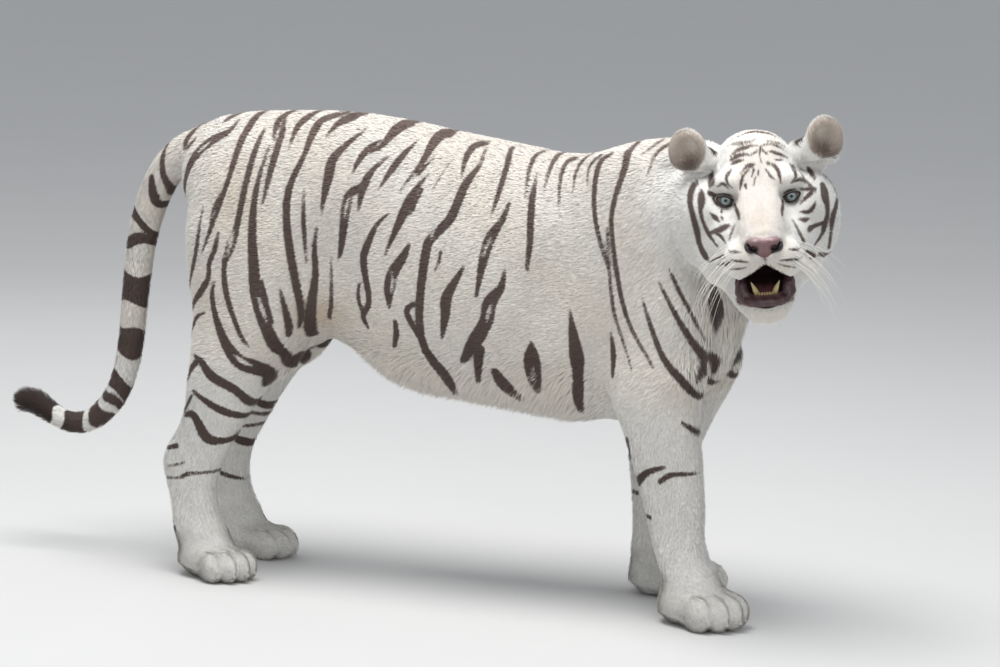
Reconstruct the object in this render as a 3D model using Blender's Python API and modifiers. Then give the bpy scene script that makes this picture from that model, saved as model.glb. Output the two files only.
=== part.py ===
"""White tiger, standing with its head turned to its right, as a still life-size model.

Metres; +X is forward, +Y the tiger's left, +Z up. The outline is that of the tips of the coat.
"""

import math

import bmesh
import bpy
import numpy as np
from mathutils import Euler, Matrix, Vector

OBJECT_NAME = "white_tiger"
GAP = 0.0004  # between neighbouring solids
BODY_VOXEL = 0.011
HEAD_VOXEL = 0.005
BODY_TRIANGLES = 2500
HEAD_TRIANGLES = 1800
MUCH_EASING = 22  # rounds of smoothing where large masses flow together
LITTLE_EASING = 4  # rounds where slender or small ones join them
AROUND = 40  # points round a section

# Trunk from rump to chest: x, underside, back line, half width, how much wider the lower half is.
TRUNK = [
    (-0.580, 0.670, 0.868, 0.040, 0.0),
    (-0.555, 0.600, 0.894, 0.090, 0.0),
    (-0.520, 0.535, 0.909, 0.120, 0.0),
    (-0.470, 0.470, 0.918, 0.146, 0.05),
    (-0.420, 0.445, 0.919, 0.155, 0.05),
    (-0.360, 0.442, 0.923, 0.158, 0.05),
    (-0.300, 0.466, 0.925, 0.153, 0.05),
    (-0.250, 0.453, 0.924, 0.152, 0.08),
    (-0.200, 0.424, 0.920, 0.156, 0.10),
    (-0.150, 0.400, 0.915, 0.163, 0.12),
    (-0.100, 0.387, 0.907, 0.171, 0.13),
    (0.000, 0.376, 0.893, 0.181, 0.13),
    (0.100, 0.366, 0.880, 0.185, 0.12),
    (0.170, 0.359, 0.871, 0.184, 0.10),
    (0.220, 0.354, 0.870, 0.180, 0.08),
    (0.270, 0.351, 0.884, 0.174, 0.05),
    (0.320, 0.354, 0.898, 0.166, 0.0),
    (0.380, 0.375, 0.902, 0.152, -0.02),
    (0.440, 0.415, 0.890, 0.128, -0.02),
    (0.490, 0.475, 0.850, 0.085, 0.0),
    (0.520, 0.540, 0.770, 0.040, 0.0),
]

# Legs from the pastern up: z, rear edge, front edge, centre line y, half width.
FORE_RIGHT = [
    (0.065, 0.432, 0.545, -0.140, 0.052),
    (0.095, 0.425, 0.535, -0.136, 0.051),
    (0.125, 0.411, 0.519, -0.133, 0.049),
    (0.160, 0.399, 0.508, -0.131, 0.046),
    (0.210, 0.385, 0.506, -0.130, 0.047),
    (0.260, 0.369, 0.502, -0.130, 0.051),
    (0.310, 0.353, 0.497, -0.131, 0.056),
    (0.370, 0.334, 0.490, -0.133, 0.062),
    (0.430, 0.322, 0.490, -0.134, 0.066),
    (0.490, 0.345, 0.487, -0.130, 0.056),
    (0.530, 0.380, 0.465, -0.122, 0.036),
]
FORE_LEFT = [
    (0.065, 0.290, 0.400, 0.120, 0.050),
    (0.095, 0.289, 0.390, 0.120, 0.050),
    (0.125, 0.286, 0.385, 0.120, 0.049),
    (0.160, 0.284, 0.386, 0.120, 0.046),
    (0.210, 0.278, 0.396, 0.121, 0.047),
    (0.260, 0.272, 0.410, 0.123, 0.051),
    (0.310, 0.268, 0.426, 0.126, 0.056),
    (0.370, 0.272, 0.452, 0.130, 0.062),
    (0.430, 0.290, 0.480, 0.132, 0.066),
    (0.490, 0.335, 0.482, 0.130, 0.056),
    (0.530, 0.375, 0.462, 0.122, 0.036),
]
HIND_RIGHT = [
    (0.050, -0.562, -0.455, -0.135, 0.045),
    (0.090, -0.577, -0.467, -0.133, 0.043),
    (0.120, -0.584, -0.480, -0.132, 0.041),
    (0.150, -0.590, -0.488, -0.131, 0.040),
    (0.190, -0.601, -0.489, -0.130, 0.041),
    (0.225, -0.607, -0.480, -0.129, 0.043),
    (0.255, -0.597, -0.466, -0.129, 0.046),
    (0.290, -0.577, -0.447, -0.129, 0.052),
    (0.330, -0.564, -0.425, -0.128, 0.060),
    (0.380, -0.563, -0.393, -0.126, 0.070),
    (0.430, -0.564, -0.363, -0.122, 0.078),
    (0.480, -0.567, -0.335, -0.115, 0.082),
    (0.550, -0.571, -0.330, -0.105, 0.085),
    (0.630, -0.580, -0.335, -0.095, 0.085),
    (0.710, -0.580, -0.365, -0.085, 0.074),
    (0.760, -0.560, -0.400, -0.070, 0.052),
]
LEFT_HIND_SETBACK = 0.034  # how far the left hind foot stands behind the right one
SETBACK_TOP = 0.490  # height where the two hind legs come level
SETBACK_RUN = 0.120

# Paws: point under the leg, direction of the toes in degrees, length, width, height.
PAWS = {
    "fore_right": ((0.468, -0.128), -33, 0.150, 0.130, 0.076),
    "fore_left": ((0.335, 0.115), 6, 0.150, 0.130, 0.076),
    "hind_right": ((-0.516, -0.125), -36, 0.136, 0.113, 0.066),
    "hind_left": ((-0.545, 0.115), -8, 0.138, 0.113, 0.066),
}

# Tail and neck as tubes: x, y, z, radius.
TAIL = [
    (-0.545, 0.0, 0.848, 0.047),
    (-0.590, 0.0, 0.838, 0.044),
    (-0.625, 0.0, 0.819, 0.041),
    (-0.660, 0.0, 0.787, 0.036),
    (-0.688, 0.0, 0.740, 0.034),
    (-0.706, 0.0, 0.687, 0.0325),
    (-0.718, 0.0, 0.630, 0.0305),
    (-0.726, 0.0, 0.560, 0.029),
    (-0.731, 0.0, 0.494, 0.028),
    (-0.736, 0.0, 0.430, 0.0275),
    (-0.746, 0.0, 0.373, 0.0265),
    (-0.765, 0.0, 0.322, 0.0255),
    (-0.795, 0.0, 0.283, 0.0245),
    (-0.830, 0.0, 0.261, 0.0235),
    (-0.868, 0.0, 0.258, 0.0225),
    (-0.905, 0.0, 0.273, 0.022),
    (-0.935, 0.0, 0.290, 0.022),
    (-0.958, 0.0, 0.294, 0.0215),
]
NECK = [
    (0.200, 0.0, 0.705, 0.125),
    (0.330, -0.002, 0.755, 0.130),
    (0.420, -0.030, 0.777, 0.132),
    (0.500, -0.085, 0.787, 0.128),
    (0.560, -0.140, 0.790, 0.120),
]

# Head frame: origin midway between the eyes, +X out of the face, +Y to its left.
HEAD_PLACE = (0.612, -0.240, 0.833)
HEAD_YAW = -72.0
HEAD_PITCH = 3.5  # nose down
HEAD_ROLL = 6.0  # left side up
# The head comes off the neck behind the ears and jaw, and above a plane that falls towards the chin.
NECK_JOINT = (0.4925, -0.124, 0.790)
NECK_JOINT_YAW = -54.0
NECK_JOINT_PITCH = -6.0
THROAT_POINT = (0.475, -0.075, 0.679)
THROAT_PITCH = 18.0
REACH = 0.60  # size of the boxes that divide the head from the neck

# Bridge and muzzle, head frame: x, underside, top, half width.
BRIDGE = [
    (-0.060, -0.100, 0.066, 0.075),
    (-0.020, -0.108, 0.049, 0.063),
    (0.020, -0.115, 0.022, 0.054),
    (0.060, -0.122, -0.004, 0.048),
    (0.100, -0.126, -0.028, 0.043),
    (0.116, -0.120, -0.038, 0.037),
    (0.121, -0.112, -0.046, 0.028),
]
# Lower jaw and mouth opening, head frame: x, middle height, half height, half width.
JAW = [
    (-0.070, -0.146, 0.060, 0.078),
    (-0.020, -0.160, 0.052, 0.068),
    (0.030, -0.177, 0.042, 0.054),
    (0.065, -0.189, 0.033, 0.044),
    (0.088, -0.195, 0.025, 0.034),
    (0.095, -0.197, 0.017, 0.024),
]
MOUTH = [
    (0.000, -0.134, 0.008, 0.030),
    (0.030, -0.141, 0.018, 0.035),
    (0.070, -0.149, 0.027, 0.039),
    (0.140, -0.158, 0.036, 0.043),
]
EYE_CENTRE = (-0.0125, 0.0610, -0.0015)
EYE_RADIUS = 0.0165
EAR_RIGHT = (-0.092, 0.122, 0.079)
EAR_LEFT = (-0.092, 0.132, 0.086)
EAR_TURN = (28, -6)
TONGUE_CENTRE = (0.038, 0.0, -0.166)
TONGUE_RADII = (0.040, 0.020, 0.010)
CANINE_BASE = (0.078, 0.0150, -0.182)
CANINE_TIP = (0.080, 0.0250, -0.146)
CANINE_RADIUS = 0.0062
INCISORS = 6
INCISOR_PITCH = 0.0040
INCISOR_TOP = -0.164

COLOURS = {
    "coat": ((0.80, 0.77, 0.71), 0.85),
    "nose_leather": ((0.36, 0.19, 0.19), 0.45),
    "mouth": ((0.26, 0.09, 0.10), 0.40),
    "eye": ((0.30, 0.40, 0.40), 0.08),
}


# Scene and collections

def clear_scene():
    for item in list(bpy.data.objects):
        bpy.data.objects.remove(item, do_unlink=True)


def collection(name):
    made = bpy.data.collections.new(name)
    bpy.context.scene.collection.children.link(made)
    return made


clear_scene()
PARTS = collection(OBJECT_NAME)
HELPERS = collection("cutters")


def helper(name, mesh):
    """A shape that the parts are made from; it isn't a part itself."""
    made = bpy.data.objects.new(name, mesh)
    made.hide_render = True
    made.display_type = "WIRE"
    HELPERS.objects.link(made)
    return made


def mesh_of(bm, name):
    bmesh.ops.recalc_face_normals(bm, faces=bm.faces)
    mesh = bpy.data.meshes.new(name)
    bm.to_mesh(mesh)
    bm.free()
    return mesh


# Shapes

def turned(yaw=0.0, pitch=0.0, roll=0.0):
    angles = (math.radians(roll), math.radians(pitch), math.radians(yaw))
    return Euler(angles, "XYZ").to_matrix().to_4x4()


def ball(centre, radii, yaw=0.0, pitch=0.0, segments=32):
    """An ellipsoid with its own axes turned by yaw and pitch."""
    bm = bmesh.new()
    bmesh.ops.create_uvsphere(bm, u_segments=segments, v_segments=segments // 2, radius=1.0)
    place = Matrix.Translation(centre) @ turned(yaw, pitch) @ Matrix.Diagonal((*radii, 1.0))
    bmesh.ops.transform(bm, matrix=place, verts=bm.verts)
    return helper("ball", mesh_of(bm, "ball"))


def block(lower, upper, place=None):
    """A box between two corners, in the frame given by place."""
    bm = bmesh.new()
    bmesh.ops.create_cube(bm, size=1.0)
    middle = (Vector(lower) + Vector(upper)) / 2
    size = Vector(upper) - Vector(lower)
    matrix = Matrix.Translation(middle) @ Matrix.Diagonal((*size, 1.0))
    bmesh.ops.transform(bm, matrix=(place or Matrix()) @ matrix, verts=bm.verts)
    return helper("block", mesh_of(bm, "block"))


def oval(half_a, half_b, power, widening=0.0, around=AROUND):
    """Points of |a|^n + |b|^n = 1, with its width growing towards the underside."""
    angle = np.linspace(0, 2 * np.pi, around, endpoint=False)
    a = np.sign(np.cos(angle)) * np.abs(np.cos(angle)) ** (2 / power)
    b = np.sign(np.sin(angle)) * np.abs(np.sin(angle)) ** (2 / power)
    return a * half_a * (1 - widening * b), b * half_b


def refined(rows, steps=3):
    """Stations between the given ones, on smooth curves through their values."""
    rows = np.array(rows, float)
    slopes = np.gradient(rows, rows[:, 0], axis=0)
    made = []
    for first, second, m0, m1 in zip(rows[:-1], rows[1:], slopes[:-1], slopes[1:]):
        run = second[0] - first[0]
        for t in np.linspace(0, 1, steps, endpoint=False):
            made.append(
                (2 * t**3 - 3 * t**2 + 1) * first
                + (t**3 - 2 * t**2 + t) * run * m0
                + (3 * t**2 - 2 * t**3) * second
                + (t**3 - t**2) * run * m1
            )
    return made + [rows[-1]]


def loft(rings):
    """A closed skin over rings of points."""
    bm = bmesh.new()
    loops = [[bm.verts.new(point) for point in ring] for ring in rings]
    around = len(rings[0])
    for first, second in zip(loops[:-1], loops[1:]):
        for i in range(around):
            j = (i + 1) % around
            bm.faces.new((first[i], first[j], second[j], second[i]))
    bm.faces.new(loops[0])
    bm.faces.new(loops[-1])
    return helper("loft", mesh_of(bm, "loft"))


def trunk():
    rings = []
    for x, under, back, half, widening in refined(TRUNK):
        across, up = oval(half, (back - under) / 2, 2.15, widening)
        middle = (back + under) / 2
        rings.append([(x, a, middle + b) for a, b in zip(across, up)])
    return loft(rings)


def leg(rows):
    rings = []
    for z, rear, front, y, half in refined(rows):
        along, across = oval((front - rear) / 2, half, 2.2)
        middle = (front + rear) / 2
        rings.append([(middle + a, y + b, z) for a, b in zip(along, across)])
    return loft(rings)


def head_loft(rows, power, steps=3, around=AROUND):
    """A loft along the head: x, lower, upper, half width."""
    rings = []
    for x, lower, upper, half in refined(rows, steps):
        across, up = oval(half, (upper - lower) / 2, power, around=around)
        middle = (upper + lower) / 2
        rings.append([(x, a, middle + b) for a, b in zip(across, up)])
    return loft(rings)


def about_middle(rows):
    """Rows of x, middle, half height, half width as x, lower, upper, half width."""
    return [(x, middle - high, middle + high, half) for x, middle, high, half in rows]


def tube(points):
    """A round tube with a radius at each point, closed by caps."""
    curve = bpy.data.curves.new("tube", "CURVE")
    curve.dimensions = "3D"
    curve.bevel_depth = 1.0
    curve.bevel_resolution = 6
    curve.use_fill_caps = True
    spline = curve.splines.new("POLY")
    spline.points.add(len(points) - 1)
    for point, (x, y, z, radius) in zip(spline.points, points):
        point.co = (x, y, z, 1.0)
        point.radius = radius
    source = bpy.data.objects.new("tube", curve)
    HELPERS.objects.link(source)
    bpy.context.view_layer.update()
    mesh = bpy.data.meshes.new_from_object(source.evaluated_get(bpy.context.evaluated_depsgraph_get()))
    bpy.data.objects.remove(source)
    bm = bmesh.new()
    bm.from_mesh(mesh)
    bmesh.ops.remove_doubles(bm, verts=bm.verts, dist=0.0001)
    return helper("tube", mesh_of(bm, "tube"))


# Making one solid of many, cutting and dividing it

def apply_modifiers(item):
    bpy.context.view_layer.update()
    graph = bpy.context.evaluated_depsgraph_get()
    mesh = bpy.data.meshes.new_from_object(item.evaluated_get(graph))
    item.modifiers.clear()
    item.data = mesh


def fuse(name, items, voxel, smoothing):
    """One closed skin over overlapping solids, eased where they meet."""
    bm = bmesh.new()
    for item in items:
        bm.from_mesh(item.data)
        bpy.data.objects.remove(item)
    mesh = bpy.data.meshes.new(name)
    bm.to_mesh(mesh)
    bm.free()
    body = helper(name, mesh)
    remesh = body.modifiers.new("union", "REMESH")
    remesh.mode = "VOXEL"
    remesh.voxel_size = voxel
    ease = body.modifiers.new("ease", "SMOOTH")
    ease.factor = 0.5
    ease.iterations = smoothing
    apply_modifiers(body)
    return body


def thin(body, triangles):
    """Fewer, larger triangles over the same shape."""
    now = sum(len(face.vertices) - 2 for face in body.data.polygons)
    step = body.modifiers.new("thin", "DECIMATE")
    step.ratio = min(1.0, triangles / now)
    apply_modifiers(body)


def boolean(body, cutter, operation):
    step = body.modifiers.new(operation, "BOOLEAN")
    step.operation = operation
    step.solver = "EXACT"
    step.object = cutter
    apply_modifiers(body)


def cut(body, cutter):
    boolean(body, cutter, "DIFFERENCE")
    bpy.data.objects.remove(cutter)


def clean(mesh):
    bm = bmesh.new()
    bm.from_mesh(mesh)
    bmesh.ops.triangulate(bm, faces=bm.faces)
    bmesh.ops.dissolve_degenerate(bm, edges=bm.edges, dist=0.000002)
    bmesh.ops.triangulate(bm, faces=bm.faces)
    bm.to_mesh(mesh)
    bm.free()


def material(name, finish):
    colour, roughness = COLOURS[finish]
    made = bpy.data.materials.new(name)
    made.use_nodes = True
    shader = made.node_tree.nodes["Principled BSDF"]
    shader.inputs["Base Color"].default_value = (*colour, 1.0)
    shader.inputs["Roughness"].default_value = roughness
    shader.inputs["Metallic"].default_value = 0.0
    return made


def part(name, item, finish):
    """Turns a helper into a named part with its own finish."""
    clean(item.data)
    item.name = name
    item.data.name = name
    item.hide_render = False
    item.display_type = "TEXTURED"
    HELPERS.objects.unlink(item)
    PARTS.objects.link(item)
    item.data.materials.clear()
    item.data.materials.append(material(name, finish))
    item.data.shade_smooth()
    item.data.set_sharp_from_angle(angle=math.radians(40))
    return item


def divide(body, name, lower, upper, finish="coat", place=None):
    """Takes the piece inside a box off the body as its own part, with a thin gap round it."""
    piece = helper(name, body.data.copy())
    inside = block(lower, upper, place)
    boolean(piece, inside, "INTERSECT")
    bpy.data.objects.remove(inside)
    outside = block([c - GAP for c in lower], [c + GAP for c in upper], place)
    cut(body, outside)
    return part(name, piece, finish)


# Masses of the body

def paw_masses(spot, yaw, length, width, height):
    """Sole block, heel and four toes, set out from the point under the leg."""
    place = Matrix.Translation((*spot, 0.0)) @ turned(yaw)

    def at(along, across, up):
        return place @ Vector((along * length, across * width, up * height))

    masses = [
        ball(at(0.30, 0, 0.50), (0.42 * length, 0.46 * width, 0.60 * height), yaw),
        ball(at(0.02, 0, 0.42), (0.27 * length, 0.39 * width, 0.52 * height), yaw),
    ]
    for side, along in ((-1, 0.60), (-0.36, 0.72), (0.36, 0.72), (1, 0.60)):
        radii = (0.25 * length, 0.160 * width, 0.44 * height)
        masses.append(ball(at(along, side * 0.36, 0.40), radii, yaw + 7 * side))
    return masses


def hind_left():
    """The right hind leg mirrored, with its foot set back."""
    rows = []
    for z, rear, front, y, half in HIND_RIGHT:
        back = LEFT_HIND_SETBACK * min(1.0, max(0.0, (SETBACK_TOP - z) / SETBACK_RUN))
        rows.append((z, rear - back, front - back, -y, half))
    return rows


def front_masses():
    chest = ball((0.355, 0, 0.590), (0.168, 0.154, 0.210))
    return [trunk(), chest, tube(NECK)]


def shoulder_masses():
    masses = []
    for side in (-1, 1):
        masses += [
            ball((0.335, side * 0.098, 0.668), (0.092, 0.064, 0.200), pitch=-15),
            ball((0.425, side * 0.118, 0.565), (0.086, 0.062, 0.114), pitch=20),
            ball((0.390, side * 0.130, 0.465), (0.087, 0.062, 0.102), pitch=15),
        ]
    return masses


def thigh_masses():
    masses = []
    for side in (-1, 1):
        back = 0.020 if side > 0 else 0.0
        masses += [
            ball((-0.438 - back, side * 0.102, 0.590), (0.126, 0.083, 0.206), pitch=-14),
            ball((-0.475 - back, side * 0.085, 0.690), (0.099, 0.078, 0.174), pitch=8),
        ]
    return masses


def limb_masses():
    masses = [leg(FORE_RIGHT), leg(FORE_LEFT), leg(HIND_RIGHT), leg(hind_left())]
    for spot, yaw, length, width, height in PAWS.values():
        masses += paw_masses(spot, yaw, length, width, height)
    return masses


# Masses of the head, in the head frame

def both_sides(centre, radii, yaw=0.0, pitch=0.0):
    x, y, z = centre
    return [ball((x, side * y, z), radii, side * yaw, pitch) for side in (-1, 1)]


def skull_masses():
    masses = [
        ball((-0.110, 0, 0.002), (0.108, 0.098, 0.106)),
        ball((-0.080, 0, -0.115), (0.086, 0.082, 0.072)),
    ]
    masses += both_sides((-0.086, 0.112, -0.062), (0.060, 0.058, 0.090))
    masses += both_sides((-0.052, 0.082, -0.120), (0.058, 0.048, 0.059))
    return masses


def face_masses():
    masses = [head_loft(BRIDGE, 2.9), head_loft(about_middle(JAW), 2.4)]
    masses += both_sides((-0.024, 0.050, 0.026), (0.040, 0.038, 0.029))
    masses += both_sides((-0.055, 0.082, -0.026), (0.065, 0.043, 0.049))
    masses += both_sides((0.000, 0.058, -0.080), (0.063, 0.039, 0.053))
    masses += both_sides((0.050, 0.044, -0.108), (0.052, 0.030, 0.036))
    return masses


def face_details():
    masses = both_sides((0.083, 0.036, -0.100), (0.042, 0.037, 0.036))
    masses += [
        ball((0.114, 0, -0.067), (0.023, 0.036, 0.024)),
        ball((0.068, 0, -0.199), (0.032, 0.038, 0.028)),
    ]
    return masses


def ear_masses(centre, side):
    """A thick dish on a short root, facing forward and a little outward."""
    x, y, z = centre
    yaw, pitch = EAR_TURN
    disc = ball((x, side * y, z), (0.0155, 0.041, 0.044), side * yaw, pitch)
    root = ball((x - 0.003, side * (y - 0.026), z - 0.024), (0.024, 0.030, 0.034), side * yaw, pitch)
    return [disc, root]


def ear_hollow(centre, side):
    x, y, z = centre
    yaw, pitch = EAR_TURN
    centre = (x + 0.024, side * (y + 0.010), z + 0.004)
    return ball(centre, (0.021, 0.029, 0.031), side * yaw, pitch, segments=16)


# Head

def head_frame():
    return Matrix.Translation(HEAD_PLACE) @ turned(HEAD_YAW, HEAD_PITCH, HEAD_ROLL)


def head_region(gap=0.0):
    """The space of the head: ahead of the neck joint and above the throat plane."""
    joint = Matrix.Translation(NECK_JOINT) @ turned(NECK_JOINT_YAW, NECK_JOINT_PITCH)
    throat = Matrix.Translation(THROAT_POINT) @ turned(NECK_JOINT_YAW, THROAT_PITCH)
    region = block((-gap, -REACH, -REACH), (REACH, REACH, REACH), joint)
    above = block((-REACH, -REACH, -gap), (REACH, REACH, REACH), throat)
    boolean(region, above, "INTERSECT")
    bpy.data.objects.remove(above)
    return region


def in_head(items):
    """Moves shapes given in the head frame to their place."""
    for item in items:
        item.data.transform(head_frame())
    return items


def make_head():
    masses = in_head(skull_masses() + face_masses()) + front_masses() + shoulder_masses()
    eased = fuse("head", masses, HEAD_VOXEL, MUCH_EASING)
    details = face_details() + ear_masses(EAR_RIGHT, -1) + ear_masses(EAR_LEFT, 1)
    head = fuse("head", in_head(details) + [eased], HEAD_VOXEL, LITTLE_EASING)
    region = head_region()
    boolean(head, region, "INTERSECT")
    bpy.data.objects.remove(region)
    thin(head, HEAD_TRIANGLES)
    cut(head, in_head([head_loft(about_middle(MOUTH), 2.2, steps=1, around=20)])[0])
    for side, ear in ((-1, EAR_RIGHT), (1, EAR_LEFT)):
        cut(head, in_head([ear_hollow(ear, side)])[0])
    make_eyes(head)
    make_tongue(head)
    for side, name, ear in ((-1, "ear_right", EAR_RIGHT), (1, "ear_left", EAR_LEFT)):
        divide_ear(head, name, ear, side)
    nose_lower, nose_upper = (0.1165, -0.0345, -0.0875), (0.160, 0.0345, -0.0470)
    divide(head, "nose", nose_lower, nose_upper, "nose_leather", head_frame())
    divide_jaw(head)
    part("head", head, "coat")


def make_eyes(head):
    """Eyeballs in sockets with a thin gap, behind a shallow hollow of the lids."""
    x, y, z = EYE_CENTRE
    socket = EYE_RADIUS + GAP
    for side, name in ((-1, "eye_right"), (1, "eye_left")):
        hollow = ball((0.012, side * 0.063, -0.001), (0.021, 0.021, 0.013), segments=14)
        around = ball((x, side * y, z), (socket, socket, socket), segments=16)
        eye = ball((x, side * y, z), (EYE_RADIUS, EYE_RADIUS, EYE_RADIUS), segments=16)
        in_head([hollow, around, eye])
        cut(head, hollow)
        cut(head, around)
        part(name, eye, "eye")


def make_tongue(head):
    """A tongue lying in a bed in the lower jaw."""
    bed = ball(TONGUE_CENTRE, [radius + GAP for radius in TONGUE_RADII], pitch=14, segments=12)
    tongue = ball(TONGUE_CENTRE, TONGUE_RADII, pitch=14, segments=12)
    in_head([bed, tongue])
    cut(head, bed)
    part("tongue", tongue, "mouth")


def divide_ear(head, name, ear, side):
    """Each ear comes off at a slanting plane through its root."""
    x, y, z = ear
    slant = Matrix.Rotation(-side * math.radians(37), 4, "X")
    place = head_frame() @ Matrix.Translation((x, side * (y - 0.033), z - 0.024)) @ slant
    divide(head, name, (-0.045, -0.09, 0.0), (0.08, 0.09, 0.2), place=place)


def cone(start, end, radius_start, radius_end):
    start, end = Vector(start), Vector(end)
    bm = bmesh.new()
    length = (end - start).length
    bmesh.ops.create_cone(
        bm, cap_ends=True, segments=8, radius1=radius_start, radius2=radius_end, depth=length
    )
    turn = Vector((0, 0, 1)).rotation_difference(end - start).to_matrix().to_4x4()
    bmesh.ops.transform(bm, matrix=Matrix.Translation((start + end) / 2) @ turn, verts=bm.verts)
    return helper("cone", mesh_of(bm, "cone"))


def lower_teeth():
    teeth = []
    for side in (-1, 1):
        base = (CANINE_BASE[0], side * CANINE_BASE[1], CANINE_BASE[2])
        tip = (CANINE_TIP[0], side * CANINE_TIP[1], CANINE_TIP[2])
        teeth.append(cone(base, tip, CANINE_RADIUS, 0.0015))
    for i in range(INCISORS):
        y = (i - (INCISORS - 1) / 2) * INCISOR_PITCH
        foot, top = (0.084, y, -0.190), (0.086, y, INCISOR_TOP)
        teeth.append(cone(foot, top, 0.0019, 0.0015))
    return teeth


def divide_jaw(head):
    """The lower jaw comes off along the mouth and behind its corners; its teeth join it."""
    slope = math.radians(9.7)
    corner = Matrix.Translation((-0.030, 0, -0.131)) @ Matrix.Rotation(slope, 4, "Y")
    lower, upper = (0.0, -0.12, -0.20), (0.22, 0.12, 0.0)
    jaw = divide(head, "lower_jaw", lower, upper, place=head_frame() @ corner)
    for tooth in in_head(lower_teeth()):
        boolean(jaw, tooth, "UNION")
        bpy.data.objects.remove(tooth)
    clean(jaw.data)
    return jaw


# Body

LEG_DEPTH = 0.30  # legs lie between this distance from the middle plane and their own inner plane


def divide_leg(body, side, x_range, levels):
    """Divides a leg from the floor up: name, top height, distance of its inner plane from the middle."""
    bottom = -0.05
    for name, top, inner in levels:
        y_range = (inner, LEG_DEPTH) if side > 0 else (-LEG_DEPTH, -inner)
        lower = (x_range[0], y_range[0], bottom)
        upper = (x_range[1], y_range[1], top)
        divide(body, name, lower, upper)
        bottom = top + GAP


def make_body():
    tail_head = ball((-0.548, 0, 0.776), (0.082, 0.112, 0.107))
    masses = front_masses() + shoulder_masses() + thigh_masses() + [tail_head]
    eased = fuse("body", masses + in_head(skull_masses()), BODY_VOXEL, MUCH_EASING)
    body = fuse("body", limb_masses() + [tube(TAIL), eased], BODY_VOXEL, LITTLE_EASING)
    thin(body, BODY_TRIANGLES)
    cut(body, block((-2, -1, -1), (2, 1, 0)))
    cut(body, head_region(GAP))
    for side, word in ((-1, "right"), (1, "left")):
        fore = [
            (f"fore_paw_{word}", 0.115, 0.020),
            (f"forearm_{word}", 0.345, 0.040),
            (f"upper_arm_{word}", 0.560, 0.068),
        ]
        divide_leg(body, side, (0.22, 0.70), fore)
        hind = [
            (f"hind_paw_{word}", 0.088, 0.020),
            (f"metatarsus_{word}", 0.235, 0.020),
            (f"shank_{word}", 0.390, 0.020),
            (f"thigh_{word}", 0.640, 0.050),
        ]
        divide_leg(body, side, (-0.66, -0.30), hind)
    divide(body, "tail_1", (-1.2, -0.1, 0.600), (-0.630, 0.1, 1.0))
    divide(body, "tail_2", (-1.2, -0.1, 0.430), (-0.612, 0.1, 0.600 - GAP))
    divide(body, "tail_4", (-1.2, -0.1, 0.100), (-0.840, 0.1, 0.430 - GAP))
    divide(body, "tail_3", (-0.840 + GAP, -0.1, 0.100), (-0.612, 0.1, 0.430 - GAP))
    divide(body, "rump", (-1.0, -1.0, 0.0), (-0.240, 1.0, 1.2))
    neck_place = Matrix.Translation((0.415, -0.02, 0.750)) @ turned(-18, -30)
    divide(body, "neck", (0.0, -0.6, -0.6), (0.6, 0.6, 0.6), place=neck_place)
    divide(body, "chest", (0.210, -1.0, 0.0), (1.0, 1.0, 1.2))
    part("barrel", body, "coat")


def stand_over_origin():
    """Centres the model's box over the origin; the soles are already at height zero."""
    corners = []
    for item in PARTS.objects:
        corners += [item.matrix_world @ Vector(corner) for corner in item.bound_box]
    for axis in (0, 1):
        middle = (min(c[axis] for c in corners) + max(c[axis] for c in corners)) / 2
        for item in PARTS.objects:
            item.location[axis] -= middle


make_body()
make_head()
bpy.context.view_layer.update()
stand_over_origin()
for leftover in list(HELPERS.objects):
    bpy.data.objects.remove(leftover)
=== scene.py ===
"""A life-size model of a white tiger, standing with its head turned to its right."""

import bpy
import numpy as np
from mathutils import Matrix, Vector


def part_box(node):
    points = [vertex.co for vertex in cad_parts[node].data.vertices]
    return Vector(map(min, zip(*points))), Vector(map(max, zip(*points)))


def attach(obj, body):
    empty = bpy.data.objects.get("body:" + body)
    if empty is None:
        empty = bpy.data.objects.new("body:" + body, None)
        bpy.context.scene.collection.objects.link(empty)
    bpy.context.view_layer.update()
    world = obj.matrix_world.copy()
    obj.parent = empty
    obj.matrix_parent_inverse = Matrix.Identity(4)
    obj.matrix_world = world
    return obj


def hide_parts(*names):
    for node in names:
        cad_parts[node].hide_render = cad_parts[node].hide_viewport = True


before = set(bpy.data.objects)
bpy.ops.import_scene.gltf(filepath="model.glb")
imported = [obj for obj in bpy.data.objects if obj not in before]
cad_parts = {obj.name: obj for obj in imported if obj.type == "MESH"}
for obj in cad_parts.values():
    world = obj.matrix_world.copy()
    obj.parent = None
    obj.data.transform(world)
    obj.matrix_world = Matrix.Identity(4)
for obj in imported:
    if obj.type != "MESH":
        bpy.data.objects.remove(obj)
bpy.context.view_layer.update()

# Place of the model. The tables below measure the animal with x = 0 midway between its feet and
# y = 0 down its middle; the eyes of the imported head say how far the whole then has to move.
HEAD_PLACE = np.array([0.612, -0.240, 0.833])  # midway between the eyes
HEAD_TURN = (-72.0, 3.5, 6.0)  # to its right, nose down, left side up, in degrees
EYE_CENTRE = np.array([-0.0125, 0.0610, -0.0015])  # of the left eye, from there


def turn(yaw=0.0, pitch=0.0, roll=0.0):
    """Axes, as columns, turned by roll about X, then pitch about Y, then yaw about Z, in degrees."""
    turns = np.radians([yaw, pitch, roll])
    (cy, cp, cr), (sy, sp, sr) = np.cos(turns), np.sin(turns)
    about_z = np.array([[cy, -sy, 0], [sy, cy, 0], [0, 0, 1]])
    about_y = np.array([[cp, 0, sp], [0, 1, 0], [-sp, 0, cp]])
    about_x = np.array([[1, 0, 0], [0, cr, -sr], [0, sr, cr]])
    return about_z @ about_y @ about_x


HEAD = turn(*HEAD_TURN)
eye_corners = [np.array(corner) for eye in ("eye_left", "eye_right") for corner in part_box(eye)]
MOVE = sum(eye_corners) / 4 - HEAD_PLACE - HEAD @ (EYE_CENTRE * (1, 0, 1))


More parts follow.
